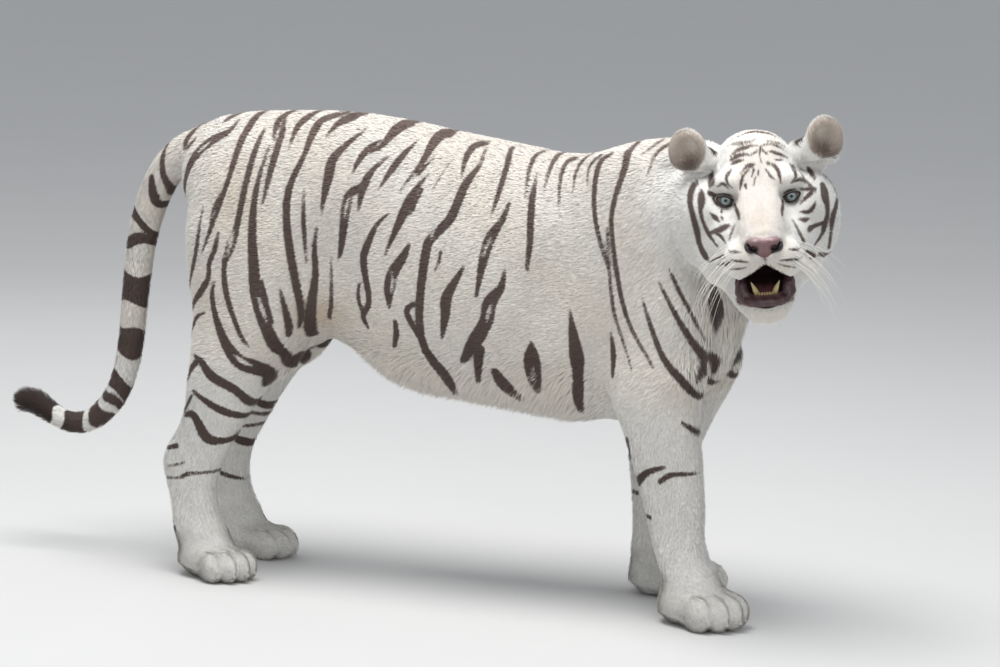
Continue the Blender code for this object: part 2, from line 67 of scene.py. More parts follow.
def from_head(points):
    """Points of the head's own frame (x out of the face, y to its left, z up) in the body's."""
    return points @ HEAD.T + HEAD_PLACE


def to_head(points):
    """Points of the body's frame in the head's own."""
    return (points - HEAD_PLACE) @ HEAD


# Camera: a long lens nine metres away, a little ahead of square to the right side and just above
# the back, with the slight tilt of a camera held in the hand.
AZIMUTH, ELEVATION, TILT, DISTANCE = 18.0, 8.0, 2.0, 9.0
LENS, SENSOR = 166.2, 36.0  # in millimetres
AIM = np.array([0.040, 0.0, 0.506])


def set_camera():
    """The camera sits DISTANCE along `back` from AIM; TILT makes the picture's right side hang lower."""
    a, e, t = np.radians([AZIMUTH, ELEVATION, TILT])
    back = np.array([np.sin(a) * np.cos(e), -np.cos(a) * np.cos(e), np.sin(e)])
    level = np.array([np.cos(a), np.sin(a), 0.0])
    upright = np.cross(back, level)
    matrix = np.eye(4)
    matrix[:3, 0] = level * np.cos(t) + upright * np.sin(t)
    matrix[:3, 1] = upright * np.cos(t) - level * np.sin(t)
    matrix[:3, 2] = back
    matrix[:3, 3] = AIM + MOVE + back * DISTANCE
    camera = bpy.data.objects.new("camera", bpy.data.cameras.new("camera"))
    bpy.context.scene.collection.objects.link(camera)
    camera.data.lens = LENS
    camera.data.sensor_width = SENSOR
    camera.matrix_world = Matrix(matrix)
    bpy.context.scene.camera = camera


set_camera()


# Skin, its shape. The whole animal is one smooth solid: ovals along the trunk and legs, round
# tubes for neck and tail, and rounded masses for muscles and skull, run together where they meet.
# The skin then lies under that outline by the depth of the coat.

# Along the trunk: x, underside, back line, half width, how much wider the lower half is.
TRUNK = np.array([
    (-0.578, 0.680, 0.863, 0.036, 0.0), (-0.553, 0.600, 0.891, 0.086, 0.0),
    (-0.520, 0.535, 0.906, 0.118, 0.0), (-0.470, 0.470, 0.915, 0.145, 0.05),
    (-0.420, 0.445, 0.919, 0.155, 0.05), (-0.360, 0.442, 0.923, 0.158, 0.05),
    (-0.300, 0.466, 0.925, 0.153, 0.05), (-0.250, 0.453, 0.924, 0.152, 0.08),
    (-0.200, 0.424, 0.920, 0.156, 0.10), (-0.150, 0.400, 0.915, 0.163, 0.12),
    (-0.100, 0.387, 0.907, 0.171, 0.13), (0.000, 0.376, 0.893, 0.181, 0.13),
    (0.100, 0.366, 0.880, 0.185, 0.12), (0.170, 0.359, 0.871, 0.184, 0.10),
    (0.220, 0.354, 0.870, 0.180, 0.08), (0.270, 0.351, 0.884, 0.174, 0.05),
    (0.320, 0.354, 0.898, 0.166, 0.0), (0.380, 0.375, 0.902, 0.152, -0.02),
    (0.440, 0.415, 0.890, 0.128, -0.02), (0.490, 0.475, 0.850, 0.085, 0.0),
    (0.520, 0.540, 0.770, 0.040, 0.0),
])
# Up each leg: z, rear edge, front edge, centre line y, half width.
FORE_RIGHT = np.array([
    (0.065, 0.432, 0.545, -0.140, 0.052), (0.095, 0.425, 0.535, -0.136, 0.051),
    (0.125, 0.411, 0.519, -0.133, 0.049), (0.160, 0.399, 0.508, -0.131, 0.046),
    (0.210, 0.385, 0.506, -0.130, 0.047), (0.260, 0.369, 0.502, -0.130, 0.051),
    (0.310, 0.353, 0.497, -0.131, 0.056), (0.370, 0.334, 0.490, -0.133, 0.062),
    (0.430, 0.322, 0.490, -0.134, 0.066), (0.490, 0.322, 0.500, -0.132, 0.068),
    (0.550, 0.335, 0.507, -0.125, 0.066),
])
FORE_LEFT = np.array([
    (0.065, 0.290, 0.400, 0.120, 0.050), (0.095, 0.289, 0.390, 0.120, 0.050),
    (0.125, 0.286, 0.385, 0.120, 0.049), (0.160, 0.284, 0.386, 0.120, 0.046),
    (0.210, 0.278, 0.396, 0.121, 0.047), (0.260, 0.272, 0.410, 0.123, 0.051),
    (0.310, 0.268, 0.426, 0.126, 0.056), (0.370, 0.272, 0.452, 0.130, 0.062),
    (0.430, 0.290, 0.480, 0.132, 0.066), (0.490, 0.312, 0.500, 0.130, 0.068),
    (0.550, 0.335, 0.507, 0.125, 0.066),
])
HIND_RIGHT = np.array([
    (0.050, -0.562, -0.455, -0.135, 0.045), (0.090, -0.577, -0.467, -0.133, 0.043),
    (0.120, -0.584, -0.480, -0.132, 0.041), (0.150, -0.590, -0.488, -0.131, 0.040),
    (0.190, -0.601, -0.489, -0.130, 0.041), (0.225, -0.607, -0.480, -0.129, 0.043),
    (0.255, -0.597, -0.466, -0.129, 0.046), (0.290, -0.577, -0.447, -0.129, 0.052),
    (0.330, -0.564, -0.425, -0.128, 0.060), (0.380, -0.561, -0.393, -0.126, 0.070),
    (0.430, -0.558, -0.363, -0.122, 0.078), (0.480, -0.558, -0.335, -0.115, 0.082),
    (0.550, -0.558, -0.330, -0.105, 0.085), (0.630, -0.567, -0.335, -0.095, 0.085),
    (0.710, -0.574, -0.345, -0.085, 0.080), (0.790, -0.567, -0.370, -0.070, 0.070),
])
SETBACK, SETBACK_TOP, SETBACK_RUN = 0.034, 0.490, 0.120  # how the left hind foot stands further back
HIND_LEFT = HIND_RIGHT * (1, 1, 1, -1, 1)
HIND_LEFT[:, 1:3] -= SETBACK * np.clip((SETBACK_TOP - HIND_LEFT[:, :1]) / SETBACK_RUN, 0, 1)
# Paws: point under the leg, direction of the toes in degrees, length, width, height.
PAWS = {
    "fore_right": ((0.468, -0.128), -33, 0.150, 0.130, 0.076),
    "fore_left": ((0.335, 0.115), 6, 0.150, 0.130, 0.076),
    "hind_right": ((-0.516, -0.125), -36, 0.136, 0.113, 0.066),
    "hind_left": ((-0.545, 0.115), -8, 0.138, 0.113, 0.066),
}
TOES = ((-1.0, 0.60), (-0.36, 0.72), (0.36, 0.72), (1.0, 0.60))  # side, and how far forward
# Shares of a paw's length, width and height: centre and radii of its sole, heel and toes.
SOLE, HEEL_PAD = ((0.36, 0, 0.50), (0.46, 0.47, 0.56)), ((0.02, 0, 0.42), (0.26, 0.38, 0.50))
TOE_SPREAD, TOE_HEIGHT, TOE_RADII = 0.345, 0.43, (0.26, 0.175, 0.47)
TOE_SPLAY = 7  # degrees
HEEL = 0.026  # height where a leg ends in its paw
# Masses that round off the breast, and the rump under the root of the tail: centre, radii, ease.
BREAST = ((0.355, 0, 0.590), (0.163, 0.150, 0.205), 0.05)
TAIL_HEAD = ((-0.548, 0, 0.777), (0.080, 0.110, 0.105), 0.03)
HOLLOWS = (  # of the flank and behind the shoulder, one on each side: centre, radii
    ((-0.262, 0.196, 0.620), (0.060, 0.050, 0.120)), ((0.188, 0.224, 0.620), (0.035, 0.050, 0.130)),
)
# Shoulder blade, point of the shoulder, upper arm, thigh and haunch: centre, radii, ease, pitch.
MUSCLES = (
    ((0.335, 0.108, 0.690), (0.085, 0.054, 0.205), 0.07, -17),
    ((0.425, 0.118, 0.565), (0.082, 0.058, 0.110), 0.05, 20),
    ((0.390, 0.130, 0.465), (0.085, 0.060, 0.100), 0.04, 15),
    ((-0.435, 0.100, 0.590), (0.120, 0.080, 0.202), 0.05, -14),
    ((-0.477, 0.085, 0.690), (0.097, 0.076, 0.172), 0.05, 8),
)
THIGH_BACK = 0.02  # how much further back the left thigh and haunch stand
# Tail and neck as tubes: x, y, z, radius.
TAIL = np.array([
    (-0.545, 0.0, 0.842, 0.045), (-0.590, 0.0, 0.834, 0.043), (-0.625, 0.0, 0.817, 0.040),
    (-0.660, 0.0, 0.787, 0.036), (-0.688, 0.0, 0.740, 0.034), (-0.706, 0.0, 0.687, 0.0325),
    (-0.718, 0.0, 0.630, 0.0305), (-0.726, 0.0, 0.560, 0.029), (-0.731, 0.0, 0.494, 0.028),
    (-0.736, 0.0, 0.430, 0.0275), (-0.746, 0.0, 0.373, 0.0265), (-0.765, 0.0, 0.322, 0.0255),
    (-0.795, 0.0, 0.283, 0.0245), (-0.830, 0.0, 0.261, 0.0235), (-0.868, 0.0, 0.258, 0.0225),
    (-0.905, 0.0, 0.273, 0.022), (-0.935, 0.0, 0.290, 0.022), (-0.958, 0.0, 0.294, 0.0215),
])
NECK = np.array([
    (0.200, 0.0, 0.705, 0.125), (0.330, -0.002, 0.755, 0.130), (0.420, -0.030, 0.777, 0.132),
    (0.500, -0.085, 0.787, 0.124), (0.545, -0.125, 0.785, 0.104),
])
# Bridge and muzzle, in the head's frame: x, underside, top, half width.
BRIDGE = np.array([
    (-0.060, -0.100, 0.066, 0.075), (-0.020, -0.108, 0.049, 0.063), (0.020, -0.115, 0.022, 0.054),
    (0.060, -0.122, -0.004, 0.048), (0.100, -0.126, -0.028, 0.043), (0.121, -0.118, -0.042, 0.036),
])
# Lower jaw and mouth: x, middle height, half height, half width.
JAW = np.array([
    (-0.130, -0.118, 0.060, 0.078), (-0.070, -0.146, 0.058, 0.078),
    (-0.020, -0.160, 0.052, 0.068), (0.030, -0.177, 0.042, 0.054),
    (0.065, -0.189, 0.033, 0.044), (0.092, -0.195, 0.024, 0.033),
])
JAW_END = 0.094
MOUTH = np.array([
    (0.000, -0.134, 0.008, 0.030), (0.030, -0.141, 0.018, 0.035), (0.070, -0.146, 0.030, 0.039),
    (0.100, -0.146, 0.040, 0.041), (0.140, -0.150, 0.044, 0.043),
])
LIP_SPLIT, LIP_FALL = 0.104, 0.72  # height under the nose where the upper lips part, and their slope
EARS = {-1: np.array([-0.092, 0.122, 0.079]), 1: np.array([-0.092, 0.132, 0.086])}  # by side
EAR_TURN = turn(28, -6)
# The ear's dish, its root and its hollow, from its centre: centre, radii.
EAR_DISH = ((0, 0, 0), (0.017, 0.040, 0.043))
EAR_ROOT = ((-0.008, -0.034, -0.036), (0.033, 0.041, 0.040))
EAR_CUP = ((0.027, 0.006, 0.003), (0.023, 0.030, 0.033))
NEAR = 0.055  # how far round a mass its effect is worked out
# Boxes that hold each part, from lowest to highest corner; the last three are in the head's frame.
TRUNK_BOX, NECK_BOX = ((-0.60, -0.24, 0.3), (0.55, 0.24, 1.0)), ((0.05, -0.28, 0.5), (0.70, 0.15, 0.95))
TAIL_BOX, MUZZLE_BOX = ((-1.0, -0.06, 0.2), (-0.5, 0.06, 0.92)), ((-0.06, -0.08, -0.13), (0.13, 0.08, 0.07))
JAW_BOX, MOUTH_BOX = ((-0.13, -0.08, -0.23), (0.10, 0.08, -0.06)), ((0.0, -0.05, -0.20), (0.14, 0.05, -0.12))
LEG_REACH, PAW_REACH, EAR_REACH = 0.10, (-0.13, 0.17), (-0.075, 0.06)  # the same, round their middles
EASE = {  # how softly each part runs into the rest, in metres
    "trunk": 0.001, "neck": 0.06, "leg": 0.035, "paw": 0.03, "heel": 0.03, "toe": 0.014, "tail": 0.03,
    "hollow": 0.05, "head": 0.03, "muzzle": 0.03, "muzzle end": 0.024, "jaw": 0.03, "mouth": 0.008,
    "ear": 0.012, "ear root": 0.026, "ear cup": 0.007,
}
OUTSIDE, FAR = 0.5, 9.0  # distances given to points before any mass is near
# How square the oval sections are: 2 is round, more is squarer.
LEG_POWER, TRUNK_POWER, MUZZLE_POWER, JAW_POWER, MOUTH_POWER = 2.2, 2.15, 2.9, 2.4, 2.2
TOP_FADE, TOP_RISE = 0.12, 0.06  # a leg's section is let go over this height, by this much
HEAD_REACH = 0.36  # how far from between the eyes the head's masses matter


def along(x, table, column):
    """Smooth curve through a table's rows: cubic between each two, with the slopes of their neighbours."""
    xs, ys = table[:, 0], table[:, column]
    slope = np.gradient(ys, xs)
    i = np.clip(np.searchsorted(xs, x) - 1, 0, len(xs) - 2)
    run = xs[i + 1] - xs[i]
    t = np.clip((x - xs[i]) / run, 0, 1)
    ends = ys[i] * (2 * t**3 - 3 * t**2 + 1) + ys[i + 1] * (3 * t**2 - 2 * t**3)
    return ends + run * (slope[i] * (t**3 - 2 * t**2 + t) + slope[i + 1] * (t**3 - t**2))


def join(a, b, ease):
    """The lesser of two distances, run together over `ease`."""
    h = np.clip(ease - np.abs(a - b), 0, None) / ease
    return np.minimum(a, b) - h * h * ease / 4


def carve(a, b, ease):
    """a with b taken away."""
    return -join(-a, b, ease)


def ball(p, centre, radii, axes=None):
    """Distance to an ellipsoid: k (k - 1) / |gradient|, with k the scaled radius."""
    q = p - np.asarray(centre)
    if axes is not None:
        q = q @ axes
    radii = np.asarray(radii)
    k = np.sqrt(((q / radii) ** 2).sum(-1))
    return k * (k - 1) / (np.sqrt(((q / radii**2) ** 2).sum(-1)) + 1e-9)


def oval(u, v, a, b, power):
    """Distance to |u/a|^n + |v/b|^n = 1."""
    x, y = np.abs(u / a) + 1e-9, np.abs(v / b) + 1e-9
    k = (x**power + y**power) ** (1 / power)
    return (k - 1) / np.sqrt(((x / k) ** (power - 1) / a) ** 2 + ((y / k) ** (power - 1) / b) ** 2)


def smooth_rows(rows, steps):
    """The rows of a table with others between them, on a smooth curve through each column."""
    table = np.column_stack([np.arange(len(rows)), rows])
    t = np.linspace(0, len(rows) - 1, steps * (len(rows) - 1) + 1)
    return np.stack([along(t, table, k + 1) for k in range(rows.shape[1])], -1)


def tube(p, points):
    """Distance to a chain of cones with round ends."""
    out = np.full(len(p), FAR)
    for a, b in zip(points[:-1], points[1:]):
        d = b[:3] - a[:3]
        t = np.clip(((p - a[:3]) @ d) / (d @ d), 0, 1)
        off = p - a[:3] - t[:, None] * d
        out = np.minimum(out, np.sqrt((off**2).sum(-1)) - (a[3] + t * (b[3] - a[3])))
    return out


def add(d, p, lower, upper, shape, ease, how=join):
    """Joins (or carves) a shape into the distances d, at the points inside a box only."""
    inside = ((p > np.asarray(lower) - NEAR) & (p < np.asarray(upper) + NEAR)).all(-1)
    if inside.any():
        d[inside] = how(d[inside], shape(p[inside]), ease)


def add_ball(d, p, centre, radii, ease, axes=None, how=join):
    """Joins (or carves) one ellipsoid."""
    centre = np.asarray(centre)
    reach = max(radii)
    add(d, p, centre - reach, centre + reach, lambda q: ball(q, centre, radii, axes), ease, how)


def folded(q):
    """The points with those of the right side laid over onto the left."""
    return np.abs(q * (0, 1, 0)) + q * (1, 0, 1)


TAIL_LINE = smooth_rows(TAIL, 3)


def leg(p, table):
    """An oval section at each height, let go above the table's top."""
    x, y, z = p.T
    rear, front = along(z, table, 1), along(z, table, 2)
    half_long, half_wide = (front - rear) / 2, along(z, table, 4)
    d = oval(x - (rear + front) / 2, y - along(z, table, 3), half_long, half_wide, LEG_POWER)
    d = np.maximum(d, HEEL - z)
    return d + TOP_RISE * np.clip((z - table[-1, 0] + TOP_FADE) / TOP_FADE, 0, 2) ** 2


def paw(p, spot, yaw, length, width, height):
    """Sole, heel and four toes with furrows between them."""
    q = (p - (*spot, 0.0)) @ turn(yaw)
    size = np.array([length, width, height])
    d = ball(q, size * SOLE[0], size * SOLE[1])
    d = join(d, ball(q, size * HEEL_PAD[0], size * HEEL_PAD[1]), EASE["heel"])
    for side, ahead in TOES:
        centre, radii = size * (ahead, side * TOE_SPREAD, TOE_HEIGHT), size * TOE_RADII
        d = join(d, ball(q, centre, radii, turn(TOE_SPLAY * side)), EASE["toe"])
    return d


def trunk(p):
    """The trunk's oval sections, with its ends rounded off by the masses beside them."""
    x, y, z = p.T
    under, back = along(x, TRUNK, 1), along(x, TRUNK, 2)
    middle, half = (under + back) / 2, (back - under) / 2
    widening = along(x, TRUNK, 4) * np.clip((z - middle) / half, -1.2, 1.2)
    d = oval(y, z - middle, along(x, TRUNK, 3) * (1 - widening), half, TRUNK_POWER)
    return np.maximum(d, np.maximum(TRUNK[0, 0] - x, x - TRUNK[-1, 0]))


def body(p):
    """Everything behind the head: trunk, chest, neck, shoulders, thighs, legs, paws and tail."""
    d = np.full(len(p), OUTSIDE)
    add(d, p, *TRUNK_BOX, trunk, EASE["trunk"])
    add_ball(d, p, *BREAST)
    add(d, p, *NECK_BOX, lambda q: tube(q, NECK), EASE["neck"])
    add_ball(d, p, *TAIL_HEAD)
    for side in (-1, 1):
        for centre, radii in HOLLOWS:
            add_ball(d, p, np.multiply(centre, (1, side, 1)), radii, EASE["hollow"], how=carve)
    for side in (-1, 1):
        for centre, radii, ease, pitch in MUSCLES:
            back = THIGH_BACK if side > 0 and centre[0] < 0 else 0.0
            add_ball(d, p, np.multiply(centre, (1, side, 1)) - (back, 0, 0), radii, ease, turn(0, pitch))
    for table in (FORE_RIGHT, FORE_LEFT, HIND_RIGHT, HIND_LEFT):
        y = table[:, 3].mean()
        lower = (table[:, 1].min(), y - LEG_REACH, 0.0)
        upper = (table[:, 2].max(), y + LEG_REACH, table[-1, 0] + LEG_REACH)
        add(d, p, lower, upper, lambda q: leg(q, table), EASE["leg"])
    for spot, *size in PAWS.values():
        lower, upper = (np.array([*spot, 0]) + reach for reach in PAW_REACH)
        add(d, p, lower, upper, lambda q: paw(q, spot, *size), EASE["paw"])
    add(d, p, *TAIL_BOX, lambda q: tube(q, TAIL_LINE), EASE["tail"])
    return d


def muzzle_block(q):
    """Nose bridge and upper jaw: rounded sections, narrower towards the top, with a rounded end."""
    x, y, z = q.T
    under, top = along(x, BRIDGE, 1), along(x, BRIDGE, 2)
    middle, half = (under + top) / 2, (top - under) / 2
    narrowing = 1 - 0.14 * np.clip((z - middle) / half, -1, 1)
    d = oval(y, z - middle, along(x, BRIDGE, 3) * narrowing, half, MUZZLE_POWER)
    d = -join(-d, -(x - BRIDGE[-1, 0]), EASE["muzzle end"])
    return np.maximum(d, BRIDGE[0, 0] - x)


def section(q, table, power):
    """The ovals of a table with a middle height, a half height and a half width at each x."""
    x, y, z = q.T
    return oval(y, z - along(x, table, 1), along(x, table, 3), along(x, table, 2), power)


def jaw(q):
    """The lower jaw's ovals, cut off in front and behind."""
    return np.maximum(section(q, JAW, JAW_POWER), np.maximum(q[:, 0] - JAW_END, JAW[0, 0] - q[:, 0]))


def mouth(q):
    """The open mouth, wider towards the front, under two lips that fall away from the middle."""
    under_lips = (q[:, 2] + LIP_SPLIT + LIP_FALL * np.abs(q[:, 1])) / np.hypot(1, LIP_FALL)
    opening = -join(-section(q, MOUTH, MOUTH_POWER), -under_lips, EASE["mouth"])
    return np.maximum(opening, MOUTH[0, 0] - q[:, 0])


# Masses of the head: centre, radii, ease; each stands on both sides of its middle.
BRAINCASE = ((-0.110, 0.0, 0.002), (0.108, 0.098, 0.106), 0.01)
SKULL = [
    ((-0.024, 0.050, 0.026), (0.038, 0.036, 0.027), 0.020),
    ((-0.055, 0.082, -0.026), (0.062, 0.040, 0.046), 0.035),
    ((-0.088, 0.100, -0.056), (0.062, 0.060, 0.090), 0.050),
    ((-0.052, 0.078, -0.119), (0.056, 0.045, 0.057), 0.040),
    ((0.000, 0.058, -0.080), (0.060, 0.036, 0.050), 0.030),
    ((-0.080, 0.0, -0.115), (0.085, 0.080, 0.070), 0.040),
]
LIPS = [
    ((0.050, 0.044, -0.108), (0.050, 0.028, 0.034), 0.020),
    ((0.086, 0.036, -0.098), (0.044, 0.037, 0.037), 0.014),
    ((0.104, 0.0, -0.082), (0.027, 0.030, 0.036), 0.012),
    ((0.112, 0.0, -0.062), (0.022, 0.034, 0.024), 0.012),
]
CHIN = ((0.068, 0.0, -0.199), (0.032, 0.038, 0.028), 0.012)
FACE_HOLLOWS = [  # eye socket, cleft of the upper lip, bed of the nostril
    ((0.012, 0.063, -0.001), (0.022, 0.022, 0.014), 0.012),
    ((0.139, 0.0, -0.096), (0.016, 0.0030, 0.020), 0.008),
    ((0.138, 0.0200, -0.0695), (0.026, 0.0145, 0.0105), 0.004),
]


def ear(p, side):
    """A dish on a short root, hollow towards the front."""
    dish, root, cup = (ball(p * (1, side, 1), EARS[side] + offset, radii, EAR_TURN)
                       for offset, radii in (EAR_DISH, EAR_ROOT, EAR_CUP))
    return carve(join(dish, root, EASE["ear root"]), cup, EASE["ear cup"])


def face(q):
    """Head in its own frame; the masses are mirrored by taking |y|."""
    m = folded(q)
    d = np.full(len(q), OUTSIDE)
    add_ball(d, m, *BRAINCASE)
    add(d, q, *MUZZLE_BOX, muzzle_block, EASE["muzzle"])
    for mass in SKULL + LIPS:
        add_ball(d, m, *mass)
    add(d, q, *JAW_BOX, jaw, EASE["jaw"])
    add_ball(d, m, *CHIN)
    add(d, q, *MOUTH_BOX, mouth, EASE["mouth"], carve)
    for hollow in FACE_HOLLOWS:
        add_ball(d, m, *hollow, how=carve)
    for side in (-1, 1):
        lower, upper = (EARS[side] * (1, side, 1) + reach for reach in EAR_REACH)
        add(d, q, lower, upper, lambda r: ear(r, side), EASE["ear"])
    return d


def outline(p):
    """The whole animal out to the coat's tips; no lower than the floor."""
    d = body(p)
    near_head = ((p - HEAD_PLACE) ** 2).sum(-1) < HEAD_REACH**2
    if near_head.any():
        d[near_head] = join(d[near_head], face(to_head(p[near_head])), EASE["head"])
    return np.maximum(d, -p[:, 2])


# Skin, its mesh. The field above is read on grids (finer on the head and paws), turned into
# quads, settled onto the surface and sewn into one closed skin, which is then one piece.
BODY_CELL, HEAD_CELL, PAW_CELL = 0.0090, 0.0030, 0.0047
BODY_GRID = (-1.0, -0.26, -0.02), (0.68, 0.26, 0.98)  # lowest and highest corner
HEAD_GRID = (-0.225, -0.21, -0.25), (0.150, 0.21, 0.150)  # in the head's frame
PAW_BEHIND, PAW_AHEAD = (-0.14, -0.14, -0.008), (0.19, 0.14, 0.115)  # from the point under the leg
SEAM, PAW_SEAM = 0.004, 0.003  # how far the grids stay back from the neck joint and the wrists
ROUGH, NEAR_STEPS = 4, 1.3  # cells to a step of the first, rough reading, and steps called near
SLOPE_REACH, STEP_LIMIT = 0.0006, 0.01  # how far off slopes are read, and the longest step, in metres
FLOOR_GAP = 0.0012  # how high the skin stays over the floor
# Depth of the coat over the skin, in metres; a MORE is added to the depth of the part it lies on.
TRUNK_DEPTH, LEG_DEPTH, TAIL_DEPTH, PAW_DEPTH = 0.0085, 0.0060, 0.0055, 0.0038
BELLY_MORE, CHEST_MORE, CHIN_MORE = 0.006, 0.004, 0.003
FACE_DEPTH, CHEEK_MORE, NAPE_MORE, EAR_DEPTH = 0.0032, 0.0095, 0.003, 0.0022
NECK_JOINT, NECK_JOINT_AXES = np.array([0.4925, -0.124, 0.790]), turn(-54, -6)
THROAT, THROAT_AXES = np.array([0.475, -0.075, 0.679]), turn(-54, 18)
WRIST = 0.105  # height where the finer paws begin


def ramp(v, start, end):
    """From 0 at start to 1 at end, level at both."""
    t = np.clip((v - start) / (end - start), 0, 1)
    return t * t * (3 - 2 * t)


def mound(p, centre, radii):
    """1 at the centre, falling as a bell over the radii."""
    return np.exp(-(((p - np.asarray(centre)) / np.asarray(radii)) ** 2).sum(-1))


def coat_depth(p):
    """How far the skin lies under the tips of the coat, in metres."""
    x, y, z = p.T
    q = to_head(p)
    belly = ramp(z, 0.50, 0.41) * ramp(x, -0.42, -0.30) * ramp(x, 0.36, 0.26)
    chest = ramp(x, 0.40, 0.50) * ramp(z, 0.45, 0.55)
    depth = TRUNK_DEPTH + BELLY_MORE * belly + CHEST_MORE * chest
    low = ramp(z, 0.46, 0.34) * (1 - belly)
    depth += (LEG_DEPTH - depth) * low * ramp(x, -0.66, -0.62)
    depth += (TAIL_DEPTH - depth) * ramp(x, -0.60, -0.66)
    depth += (PAW_DEPTH - depth) * ramp(z, 0.13, 0.08)
    ruff = ramp(-q[:, 0], -0.01, 0.075)
    on_head = FACE_DEPTH + CHEEK_MORE * ruff * ramp(np.abs(q[:, 1]), 0.03, 0.09) + NAPE_MORE * ruff
    on_head += CHIN_MORE * ramp(q[:, 2], -0.17, -0.22)
    ears = ramp(q[:, 2], 0.030, 0.060) * ramp(np.abs(q[:, 1]), 0.058, 0.082)
    on_head += (EAR_DEPTH - on_head) * ears
    is_head = ramp((q**2).sum(-1), 0.30**2, 0.24**2)
    return depth + (on_head - depth) * is_head


def skin_field(p):
    """Distance to the skin, which lies under the outline and just over the floor."""
    return np.maximum(outline(p) + coat_depth(p), FLOOR_GAP - p[:, 2])


def read_grid(field, lower, upper, cell):
    """Axes and values of the field on a grid, exact only near the surface."""
    steps = [int(np.ceil((b - a) / (cell * ROUGH))) + 1 for a, b in zip(lower, upper)]
    rough_axes = [a + cell * ROUGH * np.arange(n) for a, n in zip(lower, steps)]
    axes = [a + cell * np.arange((n - 1) * ROUGH + 1) for a, n in zip(lower, steps)]
    rough = field(np.stack(np.meshgrid(*rough_axes, indexing="ij"), -1).reshape(-1, 3)).reshape(steps)
    nearest = [(np.arange(len(a)) + ROUGH // 2) // ROUGH for a in axes]
    values = rough[np.ix_(*nearest)]
    spots = np.nonzero(np.abs(values) < NEAR_STEPS * ROUGH * cell)
    values[spots] = field(np.stack([axes[k][spots[k]] for k in range(3)], -1))
    return axes, values


def quads_of(axes, values):
    """A point in each cell that the surface crosses, and a quad round each crossed grid edge."""
    inside, shape = values < 0, np.array(values.shape) - 1
    cells, spots, quads = [], [], []
    for d in range(3):
        low = tuple(slice(0, -1) if k == d else slice(None) for k in range(3))
        high = tuple(slice(1, None) if k == d else slice(None) for k in range(3))
        crossed = np.nonzero(inside[low] != inside[high])
        a, b = values[low][crossed], values[high][crossed]
        i = np.stack(crossed, -1)
        spot = np.stack([axes[k][i[:, k]] for k in range(3)], -1)
        spot[:, d] += a / (a - b) * (axes[d][1] - axes[d][0])
        u, v = (d + 1) % 3, (d + 2) % 3
        ring = np.repeat(i[:, None], 4, 1)
        ring[:, 1:3, u] -= 1
        ring[:, 2:4, v] -= 1
        there = ((ring >= 0) & (ring < shape)).all(-1)
        ids = (ring[..., 0] * shape[1] + ring[..., 1]) * shape[2] + ring[..., 2]
        cells.append(ids[there])
        spots.append(np.repeat(spot[:, None], 4, 1)[there])
        whole = there.all(1)
        quad, flip = ids[whole], ~inside[low][crossed][whole]
        quad[flip] = quad[flip][:, ::-1]
        quads.append(quad)
    used, where = np.unique(np.concatenate(cells), return_inverse=True)
    spots, count = np.concatenate(spots), np.bincount(where)
    points = np.stack([np.bincount(where, spots[:, k]) / count for k in range(3)], -1)
    return points, np.searchsorted(used, np.concatenate(quads))


def slope_at(field, p):
    """Value and gradient, from four points round each point."""
    value, slope = 0, 0
    for corner in np.array([(1, -1, -1), (-1, -1, 1), (-1, 1, -1), (1, 1, 1)]):
        there = field(p + SLOPE_REACH * corner)
        value = value + there / 4
        slope = slope + there[:, None] * corner / (4 * SLOPE_REACH)
    return value, slope


def settle(field, p, passes):
    """Newton's steps onto the surface, then outward unit normals."""
    for _ in range(passes):
        value, slope = slope_at(field, p)
        step = np.clip(value / ((slope**2).sum(-1) + 1e-9), -STEP_LIMIT, STEP_LIMIT)
        p = p - step[:, None] * slope
    _, slope = slope_at(field, p)
    return p, slope / np.linalg.norm(slope, axis=1)[:, None]


def keep_faces(points, faces, kept):
    """The kept faces with only their own points, without faces that meet others at a corner only."""
    while True:
        faces = faces[kept]
        ends = np.sort(np.stack([faces, np.roll(faces, -1, 1)], -1).reshape(-1, 2), axis=1)
        edges, uses = np.unique(ends, axis=0, return_counts=True)
        rim = np.bincount(edges[uses == 1].ravel(), minlength=len(points))
        kept = ~(rim[faces] > 2).any(1)
        if kept.all():
            break
    used, faces = np.unique(faces, return_inverse=True)
    return points[used], faces.reshape(-1, 4)


def rims(faces):
    """The closed loops of open edges, longest first, in the order that the faces run."""
    ends = np.stack([faces, np.roll(faces, -1, 1)], -1).reshape(-1, 2)
    sorted_ends = np.sort(ends, axis=1)
    _, first, uses = np.unique(sorted_ends, axis=0, return_index=True, return_counts=True)
    following = dict(ends[first[uses == 1]].tolist())
    loops = []
    while following:
        start, loop = next(iter(following)), []
        point = start
        while point in following:
            loop.append(point)
            point = following.pop(point)
        loops.append(loop)
    return sorted(loops, key=len, reverse=True)


def sew(points, first, second):
    """Triangles between two facing loops, always across the shorter way."""
    a, b = list(first), list(second)[::-1]
    start = int(np.argmin(((points[b] - points[a[0]]) ** 2).sum(-1)))
    b = b[start:] + b[:start]
    a, b = a + a[:1], b + b[:1]
    i = j = 0
    made = []
    while i < len(a) - 1 or j < len(b) - 1:
        gap_a = np.inf if i == len(a) - 1 else ((points[a[i + 1]] - points[b[j]]) ** 2).sum()
        gap_b = np.inf if j == len(b) - 1 else ((points[b[j + 1]] - points[a[i]]) ** 2).sum()
        if gap_a <= gap_b:
            made.append((a[i], b[j], a[i + 1]))
            i += 1
        else:
            made.append((a[i], b[j], b[j + 1]))
            j += 1
    return made


def head_region(p):
    """Distance ahead of the neck joint and above the throat plane."""
    ahead = (p - NECK_JOINT) @ NECK_JOINT_AXES[:, 0]
    return np.minimum(ahead, (p - THROAT) @ THROAT_AXES[:, 2])


